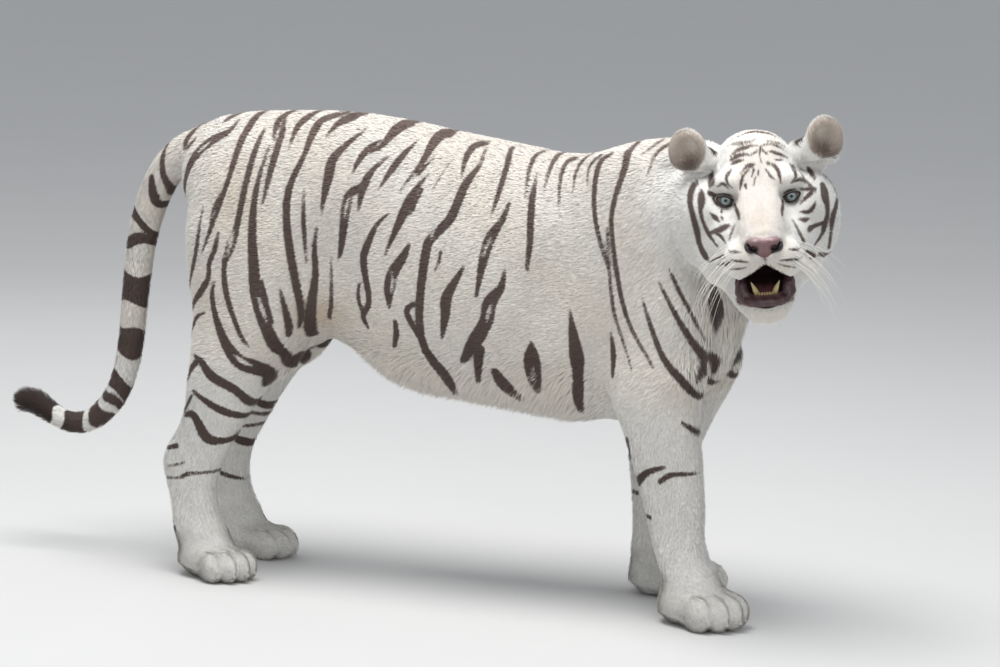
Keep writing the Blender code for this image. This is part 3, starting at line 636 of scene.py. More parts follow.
def make_skin():
    """Points, quads and sewing triangles of the skin."""
    points, faces = quads_of(*read_grid(skin_field, *BODY_GRID, BODY_CELL))
    kept = ((head_region(points)[faces] < -SEAM) & (points[faces, 2] > WRIST)).all(1)
    pieces = [keep_faces(points, faces, kept)]
    points, faces = quads_of(*read_grid(lambda q: skin_field(from_head(q)), *HEAD_GRID, HEAD_CELL))
    points = from_head(points)
    pieces.append(keep_faces(points, faces, (head_region(points)[faces] > SEAM / 2).all(1)))
    for spot, *_ in PAWS.values():
        under = np.array([*spot, 0])
        points, faces = quads_of(*read_grid(skin_field, under + PAW_BEHIND, under + PAW_AHEAD, PAW_CELL))
        pieces.append(keep_faces(points, faces, (points[faces, 2] < WRIST - PAW_SEAM).all(1)))
    start = np.cumsum([0] + [len(p) for p, _ in pieces])
    points = np.concatenate([p for p, _ in pieces])
    faces = np.concatenate([f + s for (_, f), s in zip(pieces, start)])
    loops = [[(np.array(loop) + s).tolist() for loop in rims(f)] for (_, f), s in zip(pieces, start)]
    sewing = []
    for own in loops[1:]:
        middle = points[own[0]].mean(0)
        other = min(loops[0], key=lambda loop: ((points[loop].mean(0) - middle) ** 2).sum())
        sewing += sew(points, other, own[0])
    points, normals = settle(skin_field, points, 2)
    return points, normals, faces, np.array(sewing)


skin_points, skin_normals, skin_quads, skin_sewing = make_skin()


# Markings: dark stripes on creamy white, as on the flat skin of a white tiger. Each stripe is a
# smooth curve through listed points: across, up and its width there, in millimetres.
FLANK_STRIPES = (
    (-584, 891, 4, -611, 852, 12, -616, 827, 4), (-589, 852, 4, -607, 831, 6), (-499, 895, 4, -509,
    873, 10, -544, 852, 18, -574, 822, 18, -591, 785, 14, -601, 752, 11, -606, 722, 6, -603, 682, 2),
    (-504, 909, 4, -523, 901, 14, -534, 888, 4), (-458, 910, 6, -467, 894, 16, -476, 793, 10, -502,
    695, 9, -522, 639, 2), (-483, 769, 4, -499, 736, 7, -506, 704, 4), (-433, 885, 4, -435, 846, 10,
    -447, 705, 12, -457, 660, 18, -468, 625, 10, -464, 580, 12, -449, 534, 10, -426, 487, 8, -410, 467,
    2), (-411, 852, 4, -419, 737, 12, -406, 609, 21, -398, 557, 19, -366, 476, 23, -352, 455, 16, -346,
    432, 21, -330, 448, 14), (-392, 595, 10, -372, 519, 12), (-396, 918, 4, -406, 910, 12, -412, 895,
    12, -406, 865, 4), (-400, 902, 6, -393, 870, 12, -397, 805, 11, -402, 745, 3), (-342, 920, 4, -355,
    909, 14, -366, 891, 12, -370, 849, 2), (-283, 920, 4, -321, 906, 14, -329, 883, 16, -335, 842, 10,
    -357, 746, 14, -324, 559, 12, -326, 507, 4), (-251, 921, 8, -267, 914, 18, -287, 901, 12, -303,
    873, 2), (-224, 899, 2, -273, 843, 16, -279, 802, 18, -287, 730, 2), (-324, 776, 3, -321, 715, 8,
    -314, 635, 3), (-296, 704, 4, -300, 661, 9, -298, 606, 12, -310, 522, 18, -313, 491, 12), (-267,
    647, 2, -267, 564, 8, -275, 527, 8), (-194, 875, 4, -212, 858, 12, -225, 835, 10, -233, 810, 2),
    (-143, 906, 6, -165, 902, 23, -185, 867, 10, -204, 856, 8), (-166, 849, 2, -192, 822, 10, -205,
    793, 16, -211, 743, 4), (-209, 789, 14, -231, 774, 16, -237, 747, 19, -246, 668, 12, -253, 644, 2),
    (-118, 881, 2, -147, 838, 14, -175, 786, 2), (-95, 778, 6, -98, 757, 9, -104, 744, 4), (-146, 744,
    2, -169, 720, 8, -185, 684, 14, -195, 646, 16, -180, 573, 12, -195, 540, 12, -186, 516, 6), (-204,
    602, 6, -206, 574, 8, -197, 548, 8), (-98, 687, 6, -110, 660, 18, -128, 631, 23, -135, 598, 23,
    -135, 560, 4), (-528, 731, 2, -538, 635, 10, -567, 552, 2), (-485, 685, 4, -490, 656, 10, -502,
    623, 10, -503, 596, 11, -520, 568, 14, -544, 539, 10, -559, 512, 2), (-508, 528, 2, -532, 513, 8,
    -549, 486, 8, -555, 465, 2), (-489, 589, 4, -493, 560, 10, -479, 512, 14, -454, 466, 21, -427, 438,
    27, -400, 427, 29, -381, 414, 23, -394, 386, 4), (-356, 580, 4, -342, 517, 12, -342, 492, 8), (-63,
    892, 10, -82, 890, 23, -97, 842, 10, -130, 787, 2), (-74, 853, 2, -100, 820, 8), (-79, 820, 2,
    -101, 787, 12, -114, 752, 19, -147, 664, 4), (-87, 791, 8, -102, 746, 4), (-43, 842, 2, -64, 795,
    2), (15, 880, 4, -5, 876, 12, -13, 860, 12, -12, 818, 2), (17, 870, 4, 17, 842, 8, -1, 805, 16,
    -18, 744, 18, -50, 706, 18, -62, 669, 18, -68, 509, 16, -25, 430, 23, -17, 392, 12), (-68, 576, 6,
    -87, 571, 10, -96, 554, 12, -70, 509, 12), (18, 653, 6, -12, 595, 21, -15, 560, 19, -23, 513, 6),
    (-30, 679, 6, -33, 660, 6, -40, 643, 2), (93, 777, 6, 85, 746, 12, 63, 701, 21, 48, 600, 6), (102,
    655, 4, 97, 621, 14, 76, 590, 27, 69, 553, 27, 41, 505, 27, 17, 470, 12), (53, 496, 23, 42, 428,
    10), (63, 873, 8, 70, 846, 10, 69, 796, 9, 61, 750, 2), (122, 870, 4, 114, 857, 8, 122, 790, 2),
    (133, 834, 2, 137, 787, 12, 145, 718, 12, 144, 658, 6), (153, 871, 10, 156, 799, 2), (196, 863, 4,
    179, 849, 8, 197, 762, 2), (218, 873, 4, 210, 853, 8, 218, 805, 2), (267, 881, 4, 246, 859, 6, 249,
    823, 2), (291, 887, 2, 268, 863, 10, 268, 799, 9, 283, 736, 8, 307, 674, 5), (308, 908, 10, 321,
    865, 12, 310, 798, 9, 311, 739, 8, 346, 585, 8, 407, 493, 4), (300, 749, 4, 312, 648, 6, 326, 572,
    6, 364, 485, 3), (362, 908, 6, 342, 885, 2), (386, 905, 6, 370, 890, 7, 365, 850, 2), (410, 791, 2,
    412, 734, 4, 428, 666, 6, 470, 597, 6, 496, 543, 2), (407, 650, 4, 471, 547, 12, 494, 503, 14, 487,
    468, 6), (376, 622, 2, 395, 572, 8, 424, 512, 10, 464, 469, 14, 492, 432, 8), (81, 454, 16, 95,
    429, 27, 122, 401, 16), (158, 518, 6, 159, 481, 33, 161, 440, 25, 165, 415, 8), (233, 586, 4, 246,
    503, 27, 247, 459, 19, 242, 421, 21, 239, 380, 10), (315, 548, 4, 321, 506, 12, 321, 464, 6),
    (-123, 536, 8, -122, 512, 12, -130, 484, 8), (501, 714, 12, 506, 687, 12, 499, 642, 14, 505, 611,
    14, 512, 573, 12, 514, 522, 6),
)
STRIPE_GAPS = (  # pale slits inside the broadest stripes
    (80, 590, 1, 74, 572, 6, 70, 553, 1), (67, 712, 1, 61, 694, 4, 57, 675, 1), (-546, 851, 1, -556,
    842, 4, -568, 830, 1), (-396, 566, 1, -387, 541, 6, -378, 518, 1), (-452, 692, 1, -457, 667, 6,
    -463, 642, 1), (-36, 762, 1, -46, 728, 4, -53, 700, 1), (-130, 632, 1, -128, 612, 5, -132, 592, 1),
    (-232, 768, 1, -237, 748, 5, -240, 725, 1), (160, 470, 1, 160, 455, 6, 161, 438, 1), (-440, 452, 1,
    -424, 440, 7, -404, 431, 1),
)
HOCK_STRIPES = (
    (-530, 440, 6, -508, 429, 14, -486, 406, 19, -438, 381, 17, -414, 349, 16), (-518, 434, 12, -537,
    413, 12, -549, 387, 4), (-528, 371, 6, -473, 341, 15, -430, 324, 12), (-531, 361, 6, -555, 325, 6),
    (-550, 320, 8, -525, 322, 16, -499, 280, 21, -471, 274, 12, -453, 280, 8, -446, 292, 2), (-593,
    248, 6, -565, 257, 10), (-590, 190, 4, -567, 193, 4, -553, 196, 6, -539, 204, 7, -510, 207, 5,
    -487, 210, 5), (-585, 214, 3, -560, 221, 4, -548, 226, 3), (-587, 122, 2, -578, 101, 6, -563, 85,
    2),
)
FACE_STRIPES = (
    (0, -84, 3, 0, -96, 3, 0, -108, 4), (-31, 47, 2, -22, 55, 4, -12, 59, 8, -1, 61, 2), (21, 61, 5,
    34, 55, 6, 40, 45, 8, 43, 26, 2), (-47, 53, 3, -57, 43, 6, -55, 32, 4, -48, 25, 2), (64, 51, 2, 71,
    42, 6, 70, 33, 5, 61, 26, 2), (-13, 53, 3, -26, 43, 5, -31, 31, 6, -33, 20, 2), (-5, 52, 5, -10,
    41, 2), (17, 51, 3, 24, 41, 5, 32, 34, 2), (3, 49, 5, 2, 43, 3), (-3, 39, 3, -6, 34, 2), (-23, 28,
    6, -22, 22, 3), (-6, 30, 3, -9, 26, 2), (-80, 44, 6, -84, 34, 10, -89, 22, 4), (-74, 27, 3, -64,
    33, 6, -54, 23, 2), (-89, 13, 10, -78, 9, 7, -65, 11, 4), (-81, 3, 9, -76, -5, 10, -67, -10, 6,
    -58, -15, 2), (-103, 13, 8, -105, 1, 14, -108, -15, 9, -107, -30, 7, -102, -47, 7, -96, -61, 8,
    -83, -78, 4), (-91, -21, 2, -83, -29, 10, -76, -35, 4), (-58, -40, 4, -70, -45, 10, -94, -58, 6),
    (-83, -54, 8, -74, -60, 6, -68, -70, 3), (-49, -39, 2, -57, -55, 4, -60, -65, 2), (-70, -19, 5,
    -70, -21, 4), (-70, -29, 5, -70, -31, 4), (97, 40, 4, 102, 31, 10, 109, 20, 5), (63, 26, 2, 79, 29,
    6, 92, 19, 5, 102, 8, 6), (78, 10, 4, 104, 6, 8, 107, 0, 2), (98, 1, 10, 88, -6, 7, 76, -16, 2),
    (76, -29, 4, 90, -31, 8, 100, -25, 8, 105, -15, 2), (70, -39, 2, 84, -44, 8, 91, -43, 2), (122, 7,
    10, 125, -9, 16, 128, -29, 10, 127, -46, 9, 121, -64, 12, 115, -80, 8, 98, -95, 4), (119, -60, 10,
    104, -60, 8, 91, -61, 12), (59, -38, 2, 68, -57, 5, 77, -79, 6), (128, 20, 4, 140, 10, 6, 150, -7,
    10, 152, -23, 8, 138, -55, 12, 134, -79, 7, 128, -113, 8), (-110, 26, 6, -120, 15, 10, -126, -8,
    10, -117, -58, 12, -114, -82, 10, -106, -102, 12, -99, -113, 6), (-62, -78, 4, -52, -77, 5, -42,
    -78, 2), (-61, -91, 3, -45, -93, 5, -30, -95, 2), (-61, -109, 2, -48, -107, 4, -35, -105, 2), (45,
    -78, 2, 57, -80, 5, 68, -82, 2), (28, -96, 2, 45, -96, 5, 69, -99, 4), (24, -102, 2, 38, -107, 3,
    56, -113, 2), (-95, -112, 4, -72, -91, 4), (-81, -118, 4, -65, -96, 5), (81, -100, 8, 96, -114, 10,
    90, -118, 6), (108, -116, 8, 130, -130, 8), (44, -8, 4, 42, -15, 8, 40, -23, 5, 41, -27, 2), (-44,
    -9, 4, -42, -16, 8, -40, -24, 5, -41, -28, 2),
)
CROWN_STRIPES = (
    (-43, 138, 5, -22, 142, 6, -1, 150, 10, 18, 148, 12, 40, 142, 7, 53, 137, 2), (-48, 122, 2, -27,
    120, 5, -6, 117, 5, 7, 124, 2), (27, 118, 4, 50, 118, 5, 66, 116, 2), (-40, 118, 2, -24, 111, 5,
    -5, 112, 2), (-44, 90, 5, -33, 98, 8, -19, 100, 10, -2, 103, 6, 11, 102, 2), (15, 104, 4, 32, 108,
    6, 46, 106, 7, 62, 100, 2), (-47, 80, 5, -36, 83, 10, -23, 85, 8, -10, 81, 5, 0, 86, 5, 7, 93, 2),
    (14, 91, 6, 22, 82, 5), (26, 89, 4, 41, 87, 10, 69, 85, 2), (-48, 68, 5, -37, 71, 11, -22, 72, 4),
    (37, 71, 4, 51, 72, 8, 61, 70, 2), (12, 98, 5, 8, 77, 2, 11, 60, 2),
)
HOCK_STRIPES_LEFT = (
    (-508, 324, 8, -476, 306, 18, -460, 312, 8), (-515, 296, 6, -490, 288, 8, -470, 287, 10), (-535,
    262, 5, -494, 267, 6, -478, 273, 4), (-566, 247, 8, -525, 229, 18, -508, 224, 8), (-600, 172, 5,
    -560, 159, 8, -530, 152, 4), (-560, 352, 5, -530, 345, 12, -505, 352, 6),
)
FORE_STRIPES = (
    (376, 266, 17, 397, 286, 13, 415, 296, 10, 436, 303, 5), (465, 390, 5, 478, 378, 7, 490, 362, 5),
    (394, 201, 7, 406, 200, 7), (426, 273, 8, 442, 286, 10, 458, 290, 8, 482, 291, 6, 491, 291, 3),
    (354, 347, 9, 355, 326, 9, 356, 311, 7),
)
TAIL_STRIPES = FLANK_STRIPES[:2] + (
    (-656, 851, 6, -665, 822, 9, -663, 779, 12, -654, 751, 13, -652, 738, 16), (-688, 766, 12, -683,
    732, 18, -675, 714, 15, -660, 713, 11),
)
BANDS = (  # rings round the tail: start and end along it, how they slant, in metres
    (0.248, 0.268, 0.5), (0.280, 0.304, -0.25), (0.360, 0.421, 0.1), (0.470, 0.526, 0.2),
    (0.572, 0.606, 0.4), (0.614, 0.632, 0.2), (0.647, 0.685, 0.1), (0.702, 0.750, 0.0),
    (0.775, 0.990, 0.0),
)
CROWN_TILT = 40.0  # degrees; the crown's stripes are measured across and up a plane leaning back so far
BLEED = 0.0007  # how far every stripe spreads beyond its drawn edge
CLEAR = 0.030  # distance given to points that no stripe comes near
# How the left side's stripes differ: size, rate and phase of their waves.
LEFT_SWAY, LEFT_LIFT = (0.018, 11.0, 1.0), (0.014, 9.0, 2.0)
LEFT_FORELEG = 0.10  # how much further back the left foreleg's stripes are
# The face's stripes are used this near the head's middle and forward of this; the legs' below these.
HEAD_BALL, FACE_BACK, HOCK_TOP, FOREARM_TOP = 0.26, -0.14, 0.46, 0.42


def stripe_distance(u, v, stripes):
    """Distance to the nearest stripe's edge, negative inside: each is a chain of short tapering runs."""
    out = np.full(len(u), CLEAR)
    for stripe in stripes:
        line = smooth_rows(np.reshape(stripe, (-1, 3)) * 0.001, 4)
        reach = 0.012 + line[:, 2].max()
        low, high = line.min(0) - reach, line.max(0) + reach
        near = np.nonzero((u > low[0]) & (u < high[0]) & (v > low[1]) & (v < high[1]))[0]
        if not len(near):
            continue
        here = np.stack([u[near], v[near]], -1)
        for a, b in zip(line[:-1], line[1:]):
            run = b[:2] - a[:2]
            t = np.clip((here - a[:2]) @ run / (run @ run + 1e-12), 0, 1)
            away = np.linalg.norm(here - a[:2] - t[:, None] * run, axis=1)
            out[near] = np.minimum(out[near], away - (a[2] + t * (b[2] - a[2])) / 2 - BLEED)
    return out


TAIL_ARC = np.concatenate([[0], np.cumsum(np.linalg.norm(np.diff(TAIL_LINE[:, :3], axis=0), axis=1))])


def along_tail(p):
    """Distance along the tail's middle line and off it towards the back, of the nearest place on it."""
    best = np.full(len(p), FAR)
    arc, off = np.zeros(len(p)), np.zeros(len(p))
    for k, (a, b) in enumerate(zip(TAIL_LINE[:-1, :3], TAIL_LINE[1:, :3])):
        run = b - a
        length = np.linalg.norm(run)
        t = np.clip((p - a) @ run / length**2, 0, 1)
        out = p - a - t[:, None] * run
        away = np.linalg.norm(out, axis=1)
        closer = away < best
        best[closer] = away[closer]
        arc[closer] = (TAIL_ARC[k] + t * length)[closer]
        off[closer] = (out @ np.array([run[2], 0, -run[0]]) / length)[closer]
    return arc, off


def marking(p):
    """Distance in metres to the edge of the nearest dark mark, negative inside it.

    Stripes of trunk and legs are drawn as seen along y and those of the face along the head's x; the
    tail's rings follow its length. The left side's are swayed, so that the two sides differ.
    """
    x, y, z = p.T
    left = ramp(y, -0.01, 0.05) * ramp(x, 0.48, 0.40)
    size, rate, phase = LEFT_SWAY
    u = x + left * size * (np.sin(rate * z + phase) + 0.4 * np.sin(2.7 * rate * z))
    size, rate, phase = LEFT_LIFT
    v = z + left * size * np.sin(rate * x + phase)
    hind = (y > 0) & (x < -0.30)
    u = u + np.where(hind, SETBACK * np.clip((SETBACK_TOP - z) / SETBACK_RUN, 0, 1), 0)
    q = to_head(p)
    head = (q**2).sum(-1) < HEAD_BALL**2
    face_side = head & (q[:, 0] > FACE_BACK)
    out = np.full(len(p), CLEAR)
    tail = (x < -0.60) & ((x < -0.645) | (np.abs(y) < 0.055)) & ((x < -0.66) | (z > 0.70))
    tail = tail & ~((z < 0.62) & (np.abs(y) > 0.04))
    trunk_side = ~tail & ~face_side
    out[trunk_side] = stripe_distance(u[trunk_side], v[trunk_side], FLANK_STRIPES)
    out[trunk_side] = np.maximum(out[trunk_side], -stripe_distance(u[trunk_side], v[trunk_side], STRIPE_GAPS))
    breast = ramp(np.abs(y) + 0.010 * np.sin(45 * z), 0.090, 0.066) * ramp(x, 0.465, 0.485)
    out = out + CLEAR * breast * ramp(z, 0.50, 0.56) * trunk_side
    low = trunk_side & (z < HOCK_TOP) & (x < -0.30)
    right, other = low & (y < 0), low & (y >= 0)
    out[right] = np.minimum(out[right], stripe_distance(x[right], z[right], HOCK_STRIPES))
    out[other] = np.minimum(out[other], stripe_distance(x[other], z[other], HOCK_STRIPES_LEFT))
    fore = trunk_side & (z < FOREARM_TOP) & (x > 0.20)
    ahead = x[fore] + LEFT_FORELEG * (y[fore] > 0)
    out[fore] = np.minimum(out[fore], stripe_distance(ahead, z[fore], FORE_STRIPES))
    q = q[face_side]
    on_face = stripe_distance(q[:, 1], q[:, 2], FACE_STRIPES) + BLEED
    on_face = on_face + 0.05 * np.clip(-0.115 - q[:, 0], 0, None)
    tilt = np.radians(CROWN_TILT)
    over = stripe_distance(q[:, 1], q[:, 2] * np.cos(tilt) - q[:, 0] * np.sin(tilt), CROWN_STRIPES) + BLEED
    out[face_side] = np.minimum(on_face, over + 0.5 * ramp(q[:, 2], 0.060, 0.050))
    if tail.any():
        arc, off = along_tail(p[tail])
        wave = 0.005 * np.sin(2.0 * np.arctan2(y[tail], off) + 40 * arc)
        ring = np.full(tail.sum(), CLEAR)
        for start, end, slant in BANDS:
            s = arc + slant * off + wave
            ring = np.minimum(ring, np.abs(s - (start + end) / 2) - (end - start) / 2)
        out[tail] = np.minimum(ring, stripe_distance(x[tail], z[tail], TAIL_STRIPES))
    lined, lip = mouth_lining(to_head(p))
    return out + CLEAR * np.maximum(lined, lip) * head


def mouth_lining(q):
    """How far a place in the head's frame belongs to the bare inside of the mouth, and to its lip."""
    open_side = mouth(q)
    x, y, z = q.T
    ahead = ramp(x, -0.035, -0.015) * ramp(z, -0.085, -0.100)
    inside = ramp(open_side, 0.0085, 0.0055) * ahead
    over_chin = ramp(z, -0.186, -0.180)
    lip = ramp(open_side, 0.0125, 0.0085) * ramp(z, -0.150, -0.162) * ahead * over_chin
    flap = ramp(x, 0.035, 0.050) * ramp(np.abs(y), 0.030, 0.036) * ramp(x, 0.094, 0.088)
    flap = flap * ramp(z, -0.120, -0.130) * over_chin
    return inside, np.maximum(lip, flap)


# Colours of the coat and bare places, as red, green and blue of the light they send back.
CREAM, WHITE, SAND = (0.80, 0.740, 0.655), (0.86, 0.842, 0.80), (0.64, 0.50, 0.37)
INK, BROWN = (0.040, 0.029, 0.025), (0.190, 0.137, 0.117)  # darkest and palest of the marks
# The darkest ear colour is painted shade at the root of each ear's hollow.
BLUSH, EAR_FRONT, EAR_HOLLOW_SHADE = (0.70, 0.655, 0.61), (0.55, 0.47, 0.40), (0.11, 0.078, 0.06)
# The belly colour is partly soiled fur and partly painted shade under the body.
EAR_HAIR, BELLY_SOIL_AND_SHADE = (0.78, 0.71, 0.62), (0.60, 0.545, 0.475)
# The gum colour, near black, is the gums' own dark colour together with painted shade inside the open mouth.
EAR_BACK, GUM_AND_MOUTH_SHADE, LIP = (0.05, 0.04, 0.035), (0.030, 0.010, 0.012), (0.095, 0.040, 0.044)


def ear_parts(q):
    """How far a place is on an ear, in its front hollow, near that hollow's root (painted shade), and on its
    back.
    """
    on, hollow, root, back = (np.zeros(len(q)) for _ in range(4))
    for side in (-1, 1):
        e = (q * (1, side, 1) - EARS[side]) @ EAR_TURN
        here = ramp(np.linalg.norm(e, axis=1), 0.062, 0.048) * (e[:, 2] > -0.034)
        rim = np.linalg.norm(e[:, 1:], axis=1)
        on = np.maximum(on, here)
        hollow = np.maximum(hollow, here * ramp(rim, 0.040, 0.034) * ramp(e[:, 0], -0.007, 0.001))
        root = np.maximum(root, here * mound(e[:, 1:], (-0.009, -0.021), (0.024, 0.021)))
        back = np.maximum(back, here * ramp(e[:, 0], -0.004, -0.010))
    return on, hollow, root, back


def blend(colour, other, share):
    """Runs each row of colour towards another colour (or row) by its share."""
    return colour + (np.asarray(other) - colour) * share[:, None]


def ground(p):
    """Fur colour between the marks as red, green, blue, and how pale the marks are.

    Cream with soft white patches; white low down and on the cheeks, the paws a little brighter
    still as painted light; then the belly (partly soiled fur, partly painted shade), the flank's
    fold, the thigh, the bridge of the nose, the ears (painted shade deep in their hollows) and the
    mouth (painted shade inside it) are each blended in by their share.
    """
    x, y, z = p.T
    q = to_head(p)
    from_side, from_front = p[:, [0, 2]], q[:, 1:]
    head = ramp((q**2).sum(-1), 0.30**2, 0.22**2)
    patchy = np.sin(17 * x + 3 * y + 1) * np.sin(13 * z - 5 * y) + np.sin(29 * z + 23 * x)
    patchy = 0.5 + 0.25 * patchy
    colour = blend(np.tile(CREAM, (len(p), 1)), WHITE, np.clip(0.10 + 0.45 * patchy, 0, 1))
    pale = np.maximum(ramp(z, 0.46, 0.36), head * ramp(np.abs(q[:, 1]), 0.03, 0.06))
    # White low down; the paws are painted a further 8% brighter, painted light that lifts the shade under the
    # body.
    colour = blend(colour, WHITE, pale) * (1 + 0.08 * ramp(z, 0.14, 0.09))[:, None]
    # Painted shade and soiling: the underside between the legs runs towards the belly colour.
    under = ramp(z, 0.50, 0.40) * ramp(x, -0.38, -0.28) * ramp(x, 0.32, 0.22)
    colour = blend(colour, BELLY_SOIL_AND_SHADE, 0.5 * under)
    fold = mound(from_side, (-0.285, 0.535), (0.05, 0.035))
    thigh = mound(from_side, (-0.455, 0.760), (0.05, 0.09))
    colour = blend(colour, SAND, np.clip(0.75 * fold + 0.35 * thigh, 0, 1))
    bridge = mound(from_front, (0, 0.010), (0.030, 0.075)) + mound(from_front, (0, -0.05), (0.026, 0.03))
    colour = blend(colour, BLUSH, head * np.clip(0.8 * bridge, 0, 1))
    colour = blend(colour, SAND, 0.35 * head * mound(from_front, (0, -0.030), (0.016, 0.020)))
    on, hollow, root, back = ear_parts(q)
    colour = blend(colour, EAR_FRONT, hollow)
    # Painted shade at the root of each ear's hollow.
    colour = blend(colour, EAR_HOLLOW_SHADE, hollow * root)
    in_ears = [(q * (1, side, 1) - EARS[side]) @ EAR_TURN for side in (-1, 1)]
    inner = np.maximum(*(mound(e[:, 1:], (-0.012, 0.012), (0.012, 0.013)) for e in in_ears))
    colour = blend(colour, EAR_HAIR, hollow * 0.8 * inner)
    spot = np.maximum(*(mound(q, EARS[side] * (1, side, 1), (0.04, 0.017, 0.016)) for side in (-1, 1)))
    colour = blend(colour, EAR_BACK, back * ramp(spot, 0.6, 0.4))
    inside, lip = mouth_lining(q)
    colour = blend(colour, LIP, lip * (head > 0.5))
    # Inside the mouth: the gums' dark colour together with painted shade of the open mouth.
    colour = blend(colour, GUM_AND_MOUTH_SHADE, inside * (head > 0.5))
    brown = 0.52 + 0.33 * ramp(z, 0.70, 0.90) * (1 - head) - 0.10 * ramp(z, 0.56, 0.46)
    brown = np.where(x < -0.66, 0.42 - 0.36 * ramp(x, -0.80, -0.90), brown)
    return np.column_stack([colour, brown])


def mesh_object(name, points, faces, extra=None, fields=(), ups=None):
    """A piece from points and faces; extra holds triangles beside the quads, fields values at its points."""
    mesh = bpy.data.meshes.new(name)
    parts = [np.asarray(f) for f in (faces, extra) if f is not None and len(f)]
    corners = np.concatenate([f.ravel() for f in parts]).astype(np.int32)
    totals = np.concatenate([np.full(len(f), f.shape[1]) for f in parts]).astype(np.int32)
    mesh.vertices.add(len(points))
    mesh.vertices.foreach_set("co", (points + MOVE).astype(np.float32).ravel())
    mesh.loops.add(len(corners))
    mesh.loops.foreach_set("vertex_index", corners)
    mesh.polygons.add(len(totals))
    mesh.polygons.foreach_set("loop_start", (np.cumsum(totals) - totals).astype(np.int32))
    mesh.polygons.foreach_set("loop_total", totals)
    mesh.polygons.foreach_set("use_smooth", np.ones(len(totals), bool))
    for field, values in dict(fields).items():
        kind, key = ("FLOAT", "value") if values.ndim == 1 else ("FLOAT_COLOR", "color")
        mesh.attributes.new(field, kind, "POINT").data.foreach_set(key, values.astype(np.float32).ravel())
    mesh.update(calc_edges=True)
    if ups is not None:
        loose = mesh.attributes.new("custom_normal", "FLOAT_VECTOR", "POINT")
        loose.data.foreach_set("vector", ups.astype(np.float32).ravel())
    made = bpy.data.objects.new(name, mesh)
    bpy.context.scene.collection.objects.link(made)
    return made


class Socket:
    """A socket in a material: arithmetic on it adds Math nodes, and node() adds any other."""

    def __init__(self, tree, socket=None):
        self.tree, self.socket = tree, socket

    def node(self, kind, settings=(), inputs=(), output=0):
        """Adds a node: its settings first, then the values or links of its sockets, by name or number."""
        made = self.tree.nodes.new("ShaderNode" + kind)
        for name, value in dict(settings).items():
            setattr(made, name, value)
        for name, value in dict(inputs).items():
            if isinstance(value, Socket):
                self.tree.links.new(value.socket, made.inputs[name])
            else:
                made.inputs[name].default_value = value
        return Socket(self.tree, made.outputs[output])

    def maths(self, operation, *values, clamp=False):
        """A Math node on sockets and numbers; clamp keeps its result from 0 to 1."""
        settings = {"operation": operation, "use_clamp": clamp}
        return self.node("Math", settings, dict(enumerate(values)))

    def __add__(self, other):
        return self.maths("ADD", self, other)

    def __sub__(self, other):
        return self.maths("SUBTRACT", self, other)

    def __rsub__(self, other):
        return self.maths("SUBTRACT", other, self)

    def __mul__(self, other):
        return self.maths("MULTIPLY", self, other)

    __radd__, __rmul__ = __add__, __mul__

    def mix(self, first, second):
        """One colour run into another by this socket's share."""
        return self.node("Mix", {"data_type": "RGBA"}, {0: self, 6: first, 7: second}, output=2)

    def shade(self, tone):
        """This colour times a tone."""
        grey = self.node("CombineColor", (), {0: tone, 1: tone, 2: tone})
        settings = {"data_type": "RGBA", "blend_type": "MULTIPLY"}
        return self.node("Mix", settings, {0: 1.0, 6: self, 7: grey}, output=2)

    def noise(self, scale, detail=3.0):
        """Soft noise read at this place, from 0 to 1."""
        return self.node("TexNoise", (), {"Scale": scale, "Detail": detail, "Vector": self})

    def relief(self, strength, depth):
        """The shading normal of a surface with this height."""
        return self.node("Bump", (), {"Strength": strength, "Distance": depth, "Height": self})


def new_material(name, roughness, specular=0.3, **fixed):
    """A Principled material, its tree's object coordinates, and a call that links what varies."""
    material = bpy.data.materials.new(name)
    material.use_nodes = True
    tree = material.node_tree
    shader = tree.nodes["Principled BSDF"]
    shader.inputs["Roughness"].default_value = roughness
    shader.inputs["Specular IOR Level"].default_value = specular
    for socket, value in fixed.items():
        shader.inputs[socket.replace("_", " ")].default_value = value

    def link(**varying):
        for socket, value in varying.items():
            tree.links.new(value.socket, shader.inputs[socket.replace("_", " ")])

    return material, Socket(tree).node("TexCoord", output=3), link


def attribute(start, name, output=0):
    """A field of the piece: its colour is output 0, a single value 2, and a colour's fourth value 3."""
    return start.node("Attribute", {"attribute_name": name}, output=output)


FRAY, EDGE = 0.0016, 0.0014  # how far a stripe's edge wanders, and how soft it is, in metres


def fur_material(name, bump):
    """Soft matt fur: ground and marks by the piece's own fields, with slight mottling."""
    material, place, link = new_material(name, 0.80, 0.20, Sheen_Weight=0.10, Sheen_Roughness=0.45)
    fraying = (place.noise(240.0, 2.0) - 0.5) * (2 * FRAY)
    depth = (attribute(place, "marking", 2) + fraying) * (-0.5 / EDGE) + 0.5
    mask = depth.maths("ADD", depth, 0.0, clamp=True)
    inks = attribute(place, "ground", 3).mix((*INK, 1), (*BROWN, 1))
    marked = mask.mix(attribute(place, "ground"), inks)
    mottle = place.noise(34.0, 4.0) * 0.20 + place.noise(170.0) * 0.26 + 0.77
    link(Base_Color=marked.shade(mottle))
    if bump:
        grain = place.noise(420.0, 2.0) * 0.6 + place.noise(150.0, 2.0) * 0.4
        link(Normal=grain.relief(0.5, bump))
    return material


# The skin itself: one hide over the whole model, in place of every fleshy part of the frame. It is
# matt and short-haired, with the colours and marks of the coat that is set into it.
FLESH = [
    "barrel", "chest", "neck", "head", "lower_jaw", "rump", "tail_1", "tail_2", "tail_3", "tail_4",
] + [f"{part}_{side}" for part in ("ear", "thigh", "shank", "metatarsus", "hind_paw", "upper_arm",
                                   "forearm", "fore_paw") for side in ("left", "right")]
skin = mesh_object("skin", skin_points, skin_quads, skin_sewing,
                   {"marking": marking(skin_points), "ground": ground(skin_points)})
skin.data.materials.append(fur_material("skin_fur", 0.0008))
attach(skin, "root")
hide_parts(*FLESH)


